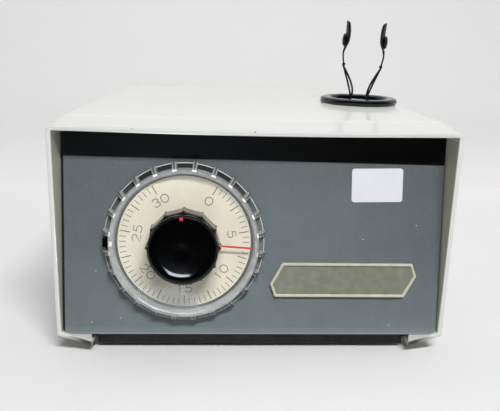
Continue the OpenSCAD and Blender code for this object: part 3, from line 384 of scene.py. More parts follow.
def rim_paint():
    """The preset dial's acrylic: pale ring and ribs, with painted shade in the gaps between the
    ribs and painted highlights on the ribs.
    """
    paint = Paint("rim_acrylic", roughness=0.12, ior=1.46)
    across, up, out = (paint.along(DIAL, axis) for axis in (0, 1, 2))
    radius = paint.maths("SQRT", paint.maths("ADD", paint.maths("MULTIPLY", across, across),
                                             paint.maths("MULTIPLY", up, up)), 0)
    clock = paint.maths("MULTIPLY", paint.maths("ARCTAN2", across, up), 180 / math.pi)
    half = RIB_PITCH / 2
    off = paint.maths("SUBTRACT", half, paint.maths("PINGPONG", clock, half))
    haze = paint.haze(4, 5)
    colour = paint.mix(haze, (0.72, 0.74, 0.73), (0.46, 0.48, 0.47))
    colour = paint.mix(paint.remap(radius, 43.6, 45, 0, 0.5), colour, (0.25, 0.27, 0.27))
    # Gaps: painted shade of the panel behind, darkest at the top, like the panel at the sides,
    # with a pale painted highlight along the flange's edge line
    outside = paint.remap(radius, RING_OUT, RING_OUT + 0.25)
    line = paint.remap(radius, 47.95, 48.1)
    gap = paint.all_of(paint.remap(off, 1.9, 2.3), outside)
    depth = paint.mix(paint.remap(up, 5, 38), (0.20, 0.21, 0.21), (0.03, 0.034, 0.036))
    colour = paint.mix(gap, colour, paint.mix(line, depth, (0.75, 0.77, 0.76)))
    # Ribs: a dark core of painted shade between two bright sides, and a white dot, a painted
    # highlight, at the inner end
    painted_rib_shade = paint.all_of(paint.remap(off, 1.0, 0.6), outside)
    colour = paint.mix(painted_rib_shade, colour, (0.14, 0.15, 0.15))
    dot = paint.all_of(paint.remap(off, 2.0, 1.5), paint.remap(radius, 43.7, 44.0),
                       paint.remap(out, 7.0, 7.6), paint.remap(up, -25, 10),
                       paint.remap(radius, 45.8, 45.5))
    colour = paint.mix(dot, colour, (1.0, 1.0, 1.0))
    # The ribs' sides, the dots and the gaps let less light through, so their painted highlights
    # and shade show
    sides = paint.all_of(outside, paint.remap(off, 2.3, 1.9))
    solid = paint.maths("MAXIMUM", dot, paint.maths("MULTIPLY", sides, 0.6))
    solid = paint.maths("MAXIMUM", solid, gap)
    paint.link(paint.remap(solid, 0, 1, 0.55, 0.1), paint.bsdf.inputs["Transmission Weight"])
    paint.colour(colour)
    paint.rough(paint.remap(haze, 0, 1, 0.08, 0.2))
    paint.bump(paint.noise(1.2, 3), 0.006)
    return paint.material


def film_paint():
    """The dial's thin clear disc: it lets light through and keeps its surface gloss."""
    paint = Paint("clear_film", roughness=0.08, ior=1.46)
    paint.bsdf.inputs["Alpha"].default_value = 0.06
    haze = paint.haze(6, 6)
    paint.colour(paint.mix(haze, (0.80, 0.81, 0.80), (0.70, 0.71, 0.70)))
    paint.rough(paint.remap(haze, 0, 1, 0.06, 0.14))
    return paint.material


def plate_paint():
    """Olive grey field with a fine cast texture."""
    paint = Paint("plate_field", roughness=0.5)
    base = (0.205, 0.215, 0.165)
    clouds = paint.clouds(5)
    paint.colour(paint.mix(clouds, shade(base, 0.85), shade(base, 1.15)))
    paint.rough(paint.remap(clouds, 0, 1, 0.42, 0.6))
    paint.bump(paint.noise(0.55, 3), 0.05)
    return paint.material


FLOOR_WHITE = (0.755, 0.757, 0.757)
FLOOR_BOUNCE = (0.42, 0.42, 0.42)
FLOOR_FAR = (0.02, 0.021, 0.023)
FLOOR_END = -190


def floor_paint():
    """White where the camera sees it, darker for bounced light, and it keeps shadows."""
    paint = Paint("floor_white", roughness=0.9)
    path = paint.node("ShaderNodeLightPath")
    mirrored = paint.maths("MAXIMUM", path.outputs["Is Glossy Ray"],
                           path.outputs["Is Transmission Ray"])
    white = paint.mix(paint.clouds(120, 3), FLOOR_WHITE, shade(FLOOR_WHITE, 0.985))
    # Reflections see the sheet end in a darker room in front of the part
    ahead = paint.maths("MULTIPLY", paint.along(Matrix.Identity(4), 1), 1 / MM)
    distant = paint.mix(paint.remap(ahead, FLOOR_END + 35, FLOOR_END), white, FLOOR_FAR)
    paint.colour(paint.mix(path.outputs["Is Camera Ray"],
                           paint.mix(mirrored, FLOOR_BOUNCE, distant), white))
    # The backdrop's far part stays as pale as the near one, without light on the part
    glow = paint.maths("MAXIMUM", mirrored, path.outputs["Is Camera Ray"])
    paint.bsdf.inputs["Emission Color"].default_value = (1, 1, 0.995, 1)
    lift = paint.maths("ADD", paint.remap(ahead, -50, 300, 0, 0.18),
                       paint.remap(ahead, 350, 1100, 0, 0.10))
    paint.link(paint.all_of(glow, lift), paint.bsdf.inputs["Emission Strength"])
    paint.bsdf.inputs["Specular IOR Level"].default_value = 0.1
    return paint.material


# Colour, roughness, cloud size, spread, bump, IOR and metal of the plainer surfaces
PLAIN = {
    "tray_black": ((0.006, 0.0065, 0.007), 0.6),
    "black_rubber": ((0.002, 0.0035, 0.005), 0.16, 4, 0.25, 0.002),
    "plate_beige": ((0.55, 0.545, 0.43), 0.42, 5, 0.08, 0.02),
    "label_white": ((0.74, 0.745, 0.79), 0.35, 10, 0.02, 0.004),
    "dark_phenolic": ((0.05, 0.03, 0.022), 0.35, 3, 0.3),
    "pointer_red": ((0.64, 0.032, 0.02), 0.35, 2, 0.1),
    "dot_red": ((0.52, 0.02, 0.09), 0.3, 1, 0.1),
    "knob_black": ((0.001, 0.001, 0.0013), 0.1, 6, 0.2, 0.001, 1.3),
    "grip_black": ((0.012, 0.012, 0.012), 0.16, 5, 0.3, 0.004, 1.4),
    "cast_alloy": ((0.55, 0.56, 0.57), 0.42, 3, 0.12, 0.05, 1.5, 0.9),
    "fan_grey": ((0.03, 0.03, 0.035), 0.45),
    "spring_black": ((0.012, 0.012, 0.014), 0.3, 3, 0.3, 0.01, 1.5, 0.3),
    "block_cream": ((0.72, 0.69, 0.58), 0.4, 6, 0.05),
    "print_dark": ((0.15, 0.125, 0.095), 0.5, 2, 0.2),
    "print_soft": ((0.24, 0.215, 0.17), 0.5, 2, 0.15),
    # Dark ring of painted shade in the gap round the dial's cream disc
    "painted_gap_shade": ((0.02, 0.016, 0.012), 0.5, 2, 0.2),
}
# Colour, roughness and stretch of the grain
METAL = {
    "plated_steel": ((0.62, 0.61, 0.57), 0.3),
    "bare_steel": ((0.50, 0.50, 0.50), 0.38, (1, 14, 1)),
    "brass": ((0.74, 0.52, 0.22), 0.28),
    "timer_zinc": ((0.62, 0.56, 0.40), 0.35),
    "ground_steel": ((0.60, 0.61, 0.62), 0.2),
    "nickel": ((0.78, 0.78, 0.76), 0.16),
    "can_alloy": ((0.70, 0.70, 0.71), 0.25),
}
PAINTS = {
    "hood_white": hood_paint(),
    "panel_grey": panel_paint(),
    "plate_field": plate_paint(),
    "scale_cream": scale_paint(),
    "rim_acrylic": rim_paint(),
    "clear_film": film_paint(),
    "lamination": lamination_paint(),
    "winding_copper": winding_paint(),
    **{name: plain_paint(name, *values) for name, values in PLAIN.items()},
    **{name: metal_paint(name, *values) for name, values in METAL.items()},
}


# Mesh helpers
def add_piece(name, mesh, body, paint, slot, *replaced, sharp=32.0):
    """Links a mesh whose points are already in the frame, and hides the CAD parts that it
    replaces.
    """
    obj = bpy.data.objects.new(name, mesh)
    bpy.context.scene.collection.objects.link(obj)
    mesh.materials.clear()
    mesh.materials.append(PAINTS[paint])
    mesh.shade_smooth()
    mesh.set_sharp_from_angle(angle=rad(sharp))
    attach(obj, body)
    if replaced:
        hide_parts(*replaced)
    return obj


def mesh_from(name, points, faces, matrix):
    """A closed mesh from millimetre points, with its faces turned outwards."""
    mesh = bpy.data.meshes.new(name)
    mesh.from_pydata([matrix @ Vector(p) for p in points], [], faces)
    work = bmesh.new()
    work.from_mesh(mesh)
    bmesh.ops.remove_doubles(work, verts=work.verts, dist=1e-7)
    bmesh.ops.recalc_face_normals(work, faces=work.faces)
    work.to_mesh(mesh)
    work.free()
    return mesh


def grid_faces(rows, cols, wrap_rows=False, wrap_cols=False, start=0):
    """Quads over a grid of points that is stored row by row."""
    return [(start + i * cols + k, start + i * cols + (k + 1) % cols,
             start + (i + 1) % rows * cols + (k + 1) % cols, start + (i + 1) % rows * cols + k)
            for i in range(rows if wrap_rows else rows - 1)
            for k in range(cols if wrap_cols else cols - 1)]


def edge_faces(starts, step, offset):
    """Quads that join an edge of one skin to the same edge of the skin behind it."""
    return [(a, a + step, offset + a + step, offset + a) for a in starts]


def bevelled(obj, width, segments=2, angle=35.0):
    made = obj.modifiers.new("soft_edges", "BEVEL")
    made.width = width * MM
    made.segments = segments
    made.limit_method = "ANGLE"
    made.angle_limit = rad(angle)
    made.harden_normals = False
    return obj


def lathe(name, profile, matrix, steps=96):
    """Turns a closed profile of (radius, height) points round Z."""
    points = [(r * math.cos(a), r * math.sin(a), z) for r, z in profile
              for a in (2 * math.pi * k / steps for k in range(steps))]
    return mesh_from(name, points, grid_faces(len(profile), steps, True, True), matrix)


def prism(name, outline, low, high, matrix):
    """An outline in X and Y, drawn out along Z."""
    n = len(outline)
    points = [(x, y, z) for z in (low, high) for x, y in outline]
    sides = [(k, (k + 1) % n, n + (k + 1) % n, n + k) for k in range(n)]
    return mesh_from(name, points, [tuple(range(n)), tuple(range(n, 2 * n)), *sides], matrix)


def rectangle(half, low, high):
    return [(-half, low), (half, low), (half, high), (-half, high)]


def joined(name, meshes):
    work = bmesh.new()
    for mesh in meshes:
        work.from_mesh(mesh)
    whole = bpy.data.meshes.new(name)
    work.to_mesh(whole)
    work.free()
    return whole


def smooth_path(points, steps):
    """Points along a soft curve through the given ones."""
    out = []
    count = len(points)
    for i in range(count - 1):
        p0, p1 = points[max(i - 1, 0)], points[i]
        p2, p3 = points[i + 1], points[min(i + 2, count - 1)]
        for k in range(steps):
            t = k / steps
            out.append(0.5 * (2 * p1 + (p2 - p0) * t + (2 * p0 - 5 * p1 + 4 * p2 - p3) * t * t
                              + (3 * p1 - p0 - 3 * p2 + p3) * t ** 3))
    return [*out, points[-1]]


def swept(name, points, radius, matrix, sides=16):
    """Round wire along a path, with soft ends."""
    rings = []
    count = len(points)
    for i, point in enumerate(points):
        tangent = (points[min(i + 1, count - 1)] - points[max(i - 1, 0)]).normalized()
        across = Vector((0, 1, 0)).cross(tangent).normalized()
        over = tangent.cross(across)
        rings.append([point + radius * (math.cos(a) * across + math.sin(a) * over)
                      for a in (2 * math.pi * k / sides for k in range(sides))])
    flat = [p for ring in rings for p in ring]
    caps = [tuple(range(sides)), tuple(range((count - 1) * sides, count * sides))]
    return mesh_from(name, flat, [*caps, *grid_faces(count, sides, False, True)], matrix)


# Hood
def half_w(y):
    return CASE_W / 2 - TAPER * y


def roof_z(y):
    if y < FRONT_BAND:
        return CASE_H - BAND_DROP * (1 - y / FRONT_BAND)
    if y > CASE_D - REAR_BAND:
        return CASE_H - REAR_DROP * (y - CASE_D + REAR_BAND) / REAR_BAND
    return CASE_H


def sag(x, y):
    """How far the visor's long edge hangs below a straight line."""
    across = max(1 - (x / half_w(y)) ** 2, 0)
    return SAG * across ** 1.4 * math.exp(-(y / SAG_REACH) ** 2)


def hood_section(y, inset, radius, arc=8, spans=24):
    """Open outline from the right flange's free edge, over the roof, to the left one's."""
    half = half_w(y) - inset
    top = roof_z(y) - inset
    foot = FLANGE_Z + inset / SLOPE_COS
    low = FLANGE_Z + (FLANGE_W - inset) * SLOPE + inset / SLOPE_COS
    right = [(half_w(y) - FLANGE_W, foot), (half, low)]
    right += [(half, low + (top - radius - low) * k / 6) for k in range(1, 6)]
    right += [(half - radius + radius * math.cos(a), top - radius + radius * math.sin(a))
              for a in (math.pi / 2 * k / arc for k in range(arc + 1))]
    inner = half - radius
    roof = [(inner - 2 * inner * k / spans, top) for k in range(1, spans)]
    left = [(-x, z) for x, z in reversed(right)]
    outline = [*right, *roof, *left]
    mid = CASE_H / 2
    return [(x, y, z - sag(x, y) * max((z - mid) / mid, 0)) for x, z in outline]


def hood_stations():
    """Depths of the outer and inner sections, with how far each is drawn in."""
    plain = [0, 1, 3, 6, 10, 15, 21, 27, FRONT_BAND, 29, 36, 48, 64, 80, 110, 150, 190, 218,
             220, 222, 236, CASE_D - REAR_R]
    outer = [(y, 0) for y in plain]
    inner = [(y, 0) for y in plain]
    for k in range(1, 9):
        a = math.pi / 2 * k / 8
        outer.append((CASE_D - REAR_R + REAR_R * math.sin(a), REAR_R * (1 - math.cos(a))))
        small = REAR_R - WALL
        inner.append((CASE_D - REAR_R + small * math.sin(a), small * (1 - math.cos(a))))
    return outer, inner


def hood_shell():
    outer, inner = hood_stations()
    skin = [hood_section(y, e, max(CORNER_R - e, 0.3)) for y, e in outer]
    lining = [hood_section(y, WALL + e, max(CORNER_R - WALL - e, 0.3)) for y, e in inner]
    rows, cols = len(skin), len(skin[0])
    back = rows * cols
    points = [p for row in [*skin, *lining] for p in row]
    faces = [*grid_faces(rows, cols), *grid_faces(rows, cols, start=back)]
    # Front lip, free edges of the flanges, and the rear wall's two faces and lower edge
    faces += edge_faces(range(cols - 1), 1, back)
    for edge in (0, cols - 1):
        faces += edge_faces(range(edge, (rows - 1) * cols, cols), cols, back)
    last = (rows - 1) * cols
    faces.append(tuple(range(last, last + cols)))
    faces.append(tuple(range(back + last, back + last + cols)))
    faces.append((last, last + cols - 1, back + last + cols - 1, back + last))
    return mesh_from("hood_shell", points, faces, CASE)


def make_webs():
    """Small white web in front of each lower corner, between the flange and the panel."""
    for side, name in ((-1, "left"), (1, "right")):
        outer, inner = CASE_W / 2 - WALL, CASE_W / 2 - FLANGE_W
        low = FLANGE_Z + WALL / SLOPE_COS
        outline = [(side * outer, PANEL_Z), (side * inner, low), (side * inner, PANEL_Z - 0.1)]
        place = CASE @ moved(0, WEB_Y, 0) @ turned(90, "X")
        web = prism(name + "_web", outline, 0, WEB_T, place)
        add_piece(name + "_web", web, "case", "hood_white", "hood_white")


def oval(width, depth, steps=96):
    """Outline of a slot-shaped oval, with the outward direction at each point."""
    run = (width - depth) / 2
    out = []
    for k in range(steps):
        a = 2 * math.pi * (k + 0.5) / steps
        side = run if math.cos(a) > 0 else -run
        out.append(((side, 0), (math.cos(a), math.sin(a))))
    return out


def cut(obj, cutters):
    """Cuts holes and keeps the result as the piece's own mesh."""
    for cutter in cutters:
        made = obj.modifiers.new("hole", "BOOLEAN")
        made.object = cutter
        made.solver = "EXACT"
    graph = bpy.context.evaluated_depsgraph_get()
    mesh = bpy.data.meshes.new_from_object(obj.evaluated_get(graph))
    obj.modifiers.clear()
    obj.data = mesh
    mesh.shade_smooth()
    mesh.set_sharp_from_angle(angle=rad(32))
    for cutter in cutters:
        bpy.data.objects.remove(cutter)


def loose(mesh):
    obj = bpy.data.objects.new(mesh.name, mesh)
    bpy.context.scene.collection.objects.link(obj)
    return obj


def fork_lean():
    return SKEW * math.sin(rad(-PHASE))


def grommet_frame():
    shift = (CASE_H - HUB[2]) * math.tan(rad(fork_lean()))
    return DRIVE @ moved(shift, 0, CASE_H)


def make_hood():
    obj = add_piece("hood_shell", hood_shell(), "case", "hood_white", "hood_white", "hood")
    bevelled(obj, 0.6, 3)
    hole = NECK_R + NECK_T + 0.02
    rim = [(c[0] + hole * n[0], hole * n[1]) for c, n in oval(GROMMET_W, GROMMET_D)]
    roof_hole = loose(prism("roof_hole", rim, -8, 4, grommet_frame()))
    opening = rectangle(REAR_OPENING / 2, REAR_LOW, REAR_HIGH)
    behind = CASE @ moved(0, CASE_D + 5, 0) @ turned(90, "X")
    rear_hole = loose(prism("rear_hole", opening, 0, 14, behind))
    cut(obj, [roof_hole, rear_hole])


def make_grommet():
    """Black rubber ring round the slot, with its neck through the roof and its lip below."""
    mid = GROMMET_D / 2 - RING_W / 2
    soft = RING_H / 2
    arc = [math.pi * k / 14 for k in range(15)]
    profile = [(RING_W / 2 - soft + soft * math.cos(a), RING_H - soft + soft * math.sin(a))
               for a in arc if a <= math.pi / 2 + 1e-6]
    profile = [(RING_W / 2 - 0.8, 0.02), (RING_W / 2 - 0.15, 0.9), *profile]
    profile += [(-x, z) for x, z in reversed(profile) if z > 0.5]
    near, far = NECK_R - mid, NECK_R + NECK_T - mid
    profile += [(near, 0.02), (near, LIP_Z), (far, LIP_Z), (far + 1, -WALL - 0.05),
                (far, -WALL - 0.05), (far, 0.02)]
    path = oval(GROMMET_W, GROMMET_D)
    points = [(c[0] + (mid + x) * n[0], (mid + x) * n[1], z)
              for c, n in path for x, z in profile]
    mesh = mesh_from("grommet_ring", points, grid_faces(len(path), len(profile), True, True),
                     grommet_frame())
    add_piece("grommet_ring", mesh, "case", "black_rubber", "black_rubber", "grommet",
              sharp=50)


# Dial
SCALE_START, SECOND, SECONDS = 30, 10, 30
TICK_OUT, TICK_IN, LONG_IN = 39.3, 35.3, 33.4
TICK_W, LONG_W, PEN_W = 0.42, 0.6, 0.6
NUMBER_R, NUMBER_STEP = 29, 5
EDGE_IN, EDGE_OUT, EDGE_T = 40.3, 41.75, 0.4
TOP = SCALE_T + 0.02
INK_TOP = TOP + 0.03


def on_clock(degrees, radius):
    """Point on the dial, with angles clockwise from twelve o'clock."""
    return radius * math.sin(rad(degrees)), radius * math.cos(rad(degrees))


def tick(angle, start, end, width):
    side = Matrix.Rotation(rad(-angle), 2)
    outline = [tuple(side @ Vector(p)) for p in rectangle(width / 2, start, end)]
    return prism("tick", outline, TOP, INK_TOP, DIAL)


DIGIT_W, DIGIT_H, DIGIT_GAP = 4.5, 5.0, 1.2


def arc_points(cx, cy, rx, ry, start, end, steps=14):
    return [(cx + rx * math.cos(rad(a)), cy + ry * math.sin(rad(a)))
            for a in (start + (end - start) * k / steps for k in range(steps + 1))]


def digit_strokes(digit):
    """Pen strokes of a thin rounded figure in a box one wide and one high."""
    return {
        "0": [arc_points(0.5, 0.5, 0.5, 0.5, 0, 360, 28)],
        "1": [[(0.28, 0.78), (0.55, 1.0), (0.55, 0.0)]],
        "2": [[*arc_points(0.5, 0.72, 0.42, 0.28, 170, -35), (0.05, 0.0), (0.95, 0.0)]],
        "3": [[*arc_points(0.47, 0.745, 0.4, 0.255, 165, -80, 12),
               *arc_points(0.47, 0.265, 0.46, 0.265, 80, -160, 16)]],
        "5": [[(0.88, 1.0), (0.22, 1.0), (0.14, 0.55),
               *arc_points(0.46, 0.32, 0.47, 0.32, 125, -155, 18)]],
    }[digit]


def ribbon(points, width, place):
    """A flat printed line of even width through the points."""
    flat = []
    count = len(points)
    for i, point in enumerate(points):
        step = (points[min(i + 1, count - 1)] - points[max(i - 1, 0)]).normalized()
        side = Vector((-step.y, step.x)) * width / 2
        left, right = point + side, point - side
        flat += [(*left, TOP), (*right, TOP), (*right, INK_TOP), (*left, INK_TOP)]
    ends = [tuple(range(4)), tuple(range(4 * count - 4, 4 * count))]
    return mesh_from("stroke", flat, [*ends, *grid_faces(count, 4, False, True)], place)


def numeral(text, angle, radius, outward):
    """A number on the dial, whose tops point outwards or towards the middle."""
    turn = -angle if outward else 180 - angle
    x, y = on_clock(angle, radius)
    pitch = DIGIT_W + DIGIT_GAP
    meshes = []
    for i, digit in enumerate(text):
        shift = (i - (len(text) - 1) / 2) * pitch - DIGIT_W / 2
        place = DIAL @ moved(x, y, 0) @ turned(turn, "Z")
        for stroke in digit_strokes(digit):
            points = [Vector((shift + DIGIT_W * u, DIGIT_H * (v - 0.5))) for u, v in stroke]
            meshes.append(ribbon(points, PEN_W, place))
    return meshes


def make_scale():
    """Half-second ticks and plain numbers of the 30 second scale, and a dark ring of painted
    shade in the gap at the disc's edge.
    """
    meshes = []
    for k in range(2 * SECONDS + 1):
        start, width = (TICK_IN, TICK_W) if k % NUMBER_STEP else (LONG_IN, LONG_W)
        meshes.append(tick(SCALE_START + k * SECOND / 2, start, TICK_OUT, width))
    add_piece("scale_ticks", joined("scale_ticks", meshes), "case", "print_dark", "scale_cream")
    meshes = []
    for value in range(0, SECONDS + 1, NUMBER_STEP):
        outward = not 10 <= value <= 20
        meshes += numeral(str(value), SCALE_START + value * SECOND, NUMBER_R, outward)
    add_piece("scale_numbers", joined("scale_numbers", meshes), "case", "print_soft",
              "scale_cream")
    # Dark ring of painted shade in the gap between the cream disc and the rim
    edge = lathe("scale_gap_shade", [(EDGE_IN, TOP), (EDGE_OUT, TOP), (EDGE_OUT, TOP + EDGE_T),
                                (EDGE_IN + 0.2, TOP + EDGE_T)], DIAL)
    add_piece("scale_gap_shade", edge, "case", "painted_gap_shade", "scale_cream")


def rib_share(clock):
    """1 on a rib of the rim, 0 between two, where clock is in degrees from twelve."""
    off = clock % RIB_PITCH - RIB_PITCH / 2
    share = 1 - min(max((abs(off) - 1.4) / 0.8, 0), 1)
    return share * share * (3 - 2 * share)


def make_clear_rim():
    """Clear front ring, and behind it a wider flange that ribs join to the ring."""
    profile = [(RING_IN, PRESET_LOW + 0.2), (RING_IN, 8.2), (42.4, RIM_TOP), (44.3, RIM_TOP),
               (44.85, RIM_TOP - 0.2), (RING_OUT, 8.3), (RING_OUT, 7.4), (44.7, 7.1),
               (44.7, PRESET_LOW)]
    ring = lathe("rim_ring", profile, DIAL, 192)
    piece = add_piece("rim_ring", ring, "preset", "rim_acrylic", "clear_acrylic",
                      "preset_dial", sharp=40)
    piece.visible_shadow = False  # clear plastic would throw a black shadow
    between = [(FLANGE_IN, 8.2), (44.8, 4.5), (44.9, 2.5), (45.4, 2.2), (47.9, 2.2), (48.4, 1.9),
               (48.4, 1.1), (48.1, PRESET_LOW)]
    on_rib = [(45.6, 8.4), (46.6, 7.8), (47.9, 6.2), (48.7, 4.6), (49.2, 3.2), (49.4, 2.3),
              (49.4, 1.2), (49.0, PRESET_LOW)]
    steps = RIBS * 20
    points = []
    for k in range(steps):
        clock = 360 * k / steps
        gap = abs((clock - NOTCH + 180) % 360 - 180)
        closed = min(max((gap - NOTCH_HALF) / 0.5, 0), 1)
        share = rib_share(clock) * closed
        edge = [(a[0] + (b[0] - a[0]) * share, a[1] + (b[1] - a[1]) * share)
                for a, b in zip(between, on_rib)]
        edge = [(FLANGE_IN + (r - FLANGE_IN) * max(closed, 0.1), z) for r, z in edge]
        points += [(*on_clock(clock, r), z)
                   for r, z in [(FLANGE_IN - 0.03, PRESET_LOW), *edge]]
    count = len(between) + 1
    mesh = mesh_from("rim_flange", points, grid_faces(steps, count, True, True), DIAL)
    add_piece("rim_flange", mesh, "preset", "rim_acrylic", "clear_acrylic", sharp=40)
    front = DISC_Z + DISC_T
    disc = lathe("clear_disc", [(DISC_HOLE, DISC_Z), (DISC_R, DISC_Z), (DISC_R, front),
                                (DISC_HOLE, front)], DIAL)
    add_piece("clear_disc", disc, "preset", "clear_film", "clear_acrylic")


def make_notch():
    """Dark block that fills the rim's notch, and the pale tab inside it."""
    outline = [(-48.4, -2.7), (-45.35, -2.7), (-45.35, 2.7), (-48.4, 2.7)]
    block = prism("notch_block", outline, PRESET_LOW + 0.1, 6.8, DIAL)
    obj = add_piece("notch_block", block, "preset", "knob_black", "knob_black")
    bevelled(obj, 0.3)
    outline = [(-44.2, -1.6), (-42.4, -1.3), (-42.4, 1.3), (-44.2, 1.6)]
    tab = prism("notch_tab", outline, RIM_TOP + 0.01, RIM_TOP + 0.08, DIAL)
    add_piece("notch_tab", tab, "preset", "scale_cream", "scale_cream")


def make_grip():
    """Black skirt with twelve slightly hollow facets and a bead along each corner."""
    per_facet = 24
    levels = [(KNOB_Z, 0.0), (KNOB_Z + 0.1, 0.25), (KNOB_Z + 0.5, 0.4), (17.5, 0.0),
              (19.7, -0.15), (20.4, -0.6)]
    outline = []
    half = FACET_PITCH / 2
    for k in range(FACETS * per_facet):
        clock = 360 * k / (FACETS * per_facet)
        off = abs((clock + half) % FACET_PITCH - half)
        hollow = 20.75 + 0.85 * (1 - off / half) ** 2
        bead = 0.55 * math.exp(-(off / 2.0) ** 4)
        outline.append((clock, hollow + bead))
    points = [(*on_clock(clock, r + extra), z) for z, extra in levels for clock, r in outline]
    n = len(outline)
    faces = [tuple(range(n)), tuple(range((len(levels) - 1) * n, len(levels) * n)),
             *grid_faces(len(levels), n, False, True)]
    mesh = mesh_from("knob_grip", points, faces, DIAL)
    add_piece("knob_grip", mesh, "starter", "grip_black", "knob_black", "start_knob",
              sharp=40)


def make_cap():
    """Glossy domed cap with a shallow dimple in its middle."""
    base = KNOB_FRONT - CAP_H
    arc = [math.pi / 2 * k / 20 for k in range(21)]
    shoulder = [(12.4 + 8 * math.cos(a), 24 + 4.75 * math.sin(a)) for a in arc]
    profile = [(0.01, base), (19.8, base), (20.4, base + 0.5), *shoulder, (8, 28.9),
               (5.5, 28.95), (4.5, 28.9), (3, 28.8), (1.5, 28.73), (0.01, 28.7)]
    mesh = lathe("cap_dome", profile, DIAL, 128)
    add_piece("cap_dome", mesh, "starter", "knob_black", "knob_black", "knob_cap", sharp=60)


def make_dot():
    lift = DIAL @ moved(-0.8, 18.4, 27.1) @ turned(-35, "X")
    profile = [(0.01, -0.6), (1.15, -0.6), (1.15, 0.05), (0.9, 0.22), (0.5, 0.3), (0.01, 0.32)]
    add_piece("start_dot", lathe("start_dot", profile, lift, 32), "starter", "dot_red",
              "pointer_red", "knob_dot", sharp=60)


# Name plate, left bare
PLATE_X, PLATE_S, PLATE_T, PLATE_RIM = 55.7, 35.3, 1.2, 1.7
PLATE_HALF = [(42.7, 10.7), (45.6, 2.6), (38.3, -10.7)]


def drawn_in(outline, distance):
    """The outline moved inwards by a distance, corner by corner."""
    out = []
    count = len(outline)
    for i in range(count):
        before, here, after = (Vector(outline[(i + k) % count]) for k in (-1, 0, 1))
        a, b = (here - before).normalized(), (after - here).normalized()
        na, nb = Vector((a.y, -a.x)), Vector((b.y, -b.x))
        out.append(tuple(here + (na + nb) * (distance / (1 + na.dot(nb)))))
    return out


def make_plate():
    place = PANEL @ moved(PLATE_X, PLATE_S, 0)
    outline = PLATE_HALF + [(-x, -y) for x, y in PLATE_HALF]
    field = prism("plate_field", drawn_in(outline, PLATE_RIM - 0.3), 0, PLATE_T, place)
    add_piece("plate_field", field, "case", "plate_field", "plate_beige")
    rings = [(0, 0), (0, 1.9), (0.35, 2.2), (1.2, 2.2), (1.7, 1.8), (1.8, 0)]
    points = [(x, y, z) for inset, z in rings for x, y in drawn_in(outline, inset)]
    rim = mesh_from("plate_rim", points, grid_faces(len(rings), 6, True, True), place)
    obj = add_piece("plate_rim", rim, "case", "plate_beige", "plate_beige", "name_plate")
    bevelled(obj, 0.35, 3, 20)


# Fork
CLAMP_Z, CLAMP_H = 66, 8.5
WIRE_R = 0.7
ARM_X = 5.4 + WIRE_R + 0.02
FERRULE_X, FERRULE_Z = 13.6, CLAMP_Z + 33.8
ARM_TIP = 1.5
JAW_X, JAW_Z, JAW_H, JAW_W = 14.6, CLAMP_Z + 43, 22, 11
PAD_AT, PAD_R, PAD_T = 0.38, 4.6, 2.1
SHEET_T, DISH = 1.1, 2.4
FULL_AT, TAPER_AT, TIP_AT = 0.42, 0.62, 0.93
STEM_R, CLIP_X, CLIP_Y, CLIP_Z = 0.6, 1.1, 1.9, 0.8


def arm_points(side, y, bow):
    """One spring wire: straight at first, then bending outwards to the clip."""
    out = [Vector((side * ARM_X, y, z)) for z in (CLAMP_Z + 1, CLAMP_Z + CLAMP_H)]
    low = CLAMP_Z + CLAMP_H + 2
    for i in range(13):
        t = i / 12
        x = ARM_X + (FERRULE_X - ARM_X) * t ** 1.15 - bow * math.sin(math.pi * t ** 0.7)
        out.append(Vector((side * x, y, low + (FERRULE_Z - ARM_TIP - low) * t)))
    out.append(Vector((side * FERRULE_X, y, FERRULE_Z)))
    return smooth_path(out, 3)


def make_arm(side, name, body):
    bowed = 2.4 if side < 0 else 1.6
    wires = [swept(name, arm_points(side, y, bow), WIRE_R, FORK)
             for y, bow in ((-WIRE_R - 0.15, 0), (WIRE_R + 0.15, bowed))]
    add_piece(name, joined(name, wires), body, "spring_black", "spring_black",
              body + "_wires", sharp=50)


def jaw_mid(t):
    """Middle line of a jaw: it bows inwards and leans in a little towards its tip."""
    return JAW_X - 0.5 * math.sin(math.pi * t) - 0.5 * t


def jaw_half(t):
    """Half width of a blade: narrow at its foot, full above the pad and blunt at its tip."""
    foot = 0.2 + 0.8 * math.sin(math.pi / 2 * min(t / FULL_AT, 1))
    tip = 1 - 0.25 * max((t - TAPER_AT) / (1 - TAPER_AT), 0) ** 2
    if t > TIP_AT:
        tip *= 0.35 + 0.65 * math.sqrt(max(1 - ((t - TIP_AT) / (1 - TIP_AT)) ** 2, 0))
    return JAW_W / 2 * min(foot, tip)


def jaw_sheet(side, name):
    """Blade dished towards the capsule, with a soft rim."""
    rows, half_cols = 24, 6
    sheets = []
    for skin in (SHEET_T / 2, -SHEET_T / 2):
        for i in range(rows + 1):
            t = i / rows
            half = jaw_half(t)
            for k in range(-half_cols, half_cols + 1):
                u = k / half_cols
                x = jaw_mid(t) + skin - DISH * (u * half / (JAW_W / 2)) ** 2
                sheets.append((side * x, u * half, JAW_Z + JAW_H * t))
    cols = 2 * half_cols + 1
    block = (rows + 1) * cols
    faces = [*grid_faces(rows + 1, cols), *grid_faces(rows + 1, cols, start=block)]
    for end in (0, rows * cols):
        faces += edge_faces(range(end, end + cols - 1), 1, block)
    for edge in (0, cols - 1):
        faces += edge_faces(range(edge, rows * cols, cols), cols, block)
    return mesh_from(name, sheets, faces, FORK)


def clip_box(side, name):
    """The small clip that gathers the two wires of an arm."""
    place = FORK @ moved(side * FERRULE_X, 0, FERRULE_Z)
    return prism(name, rectangle(CLIP_X, -CLIP_Y, CLIP_Y), -CLIP_Z, CLIP_Z, place)


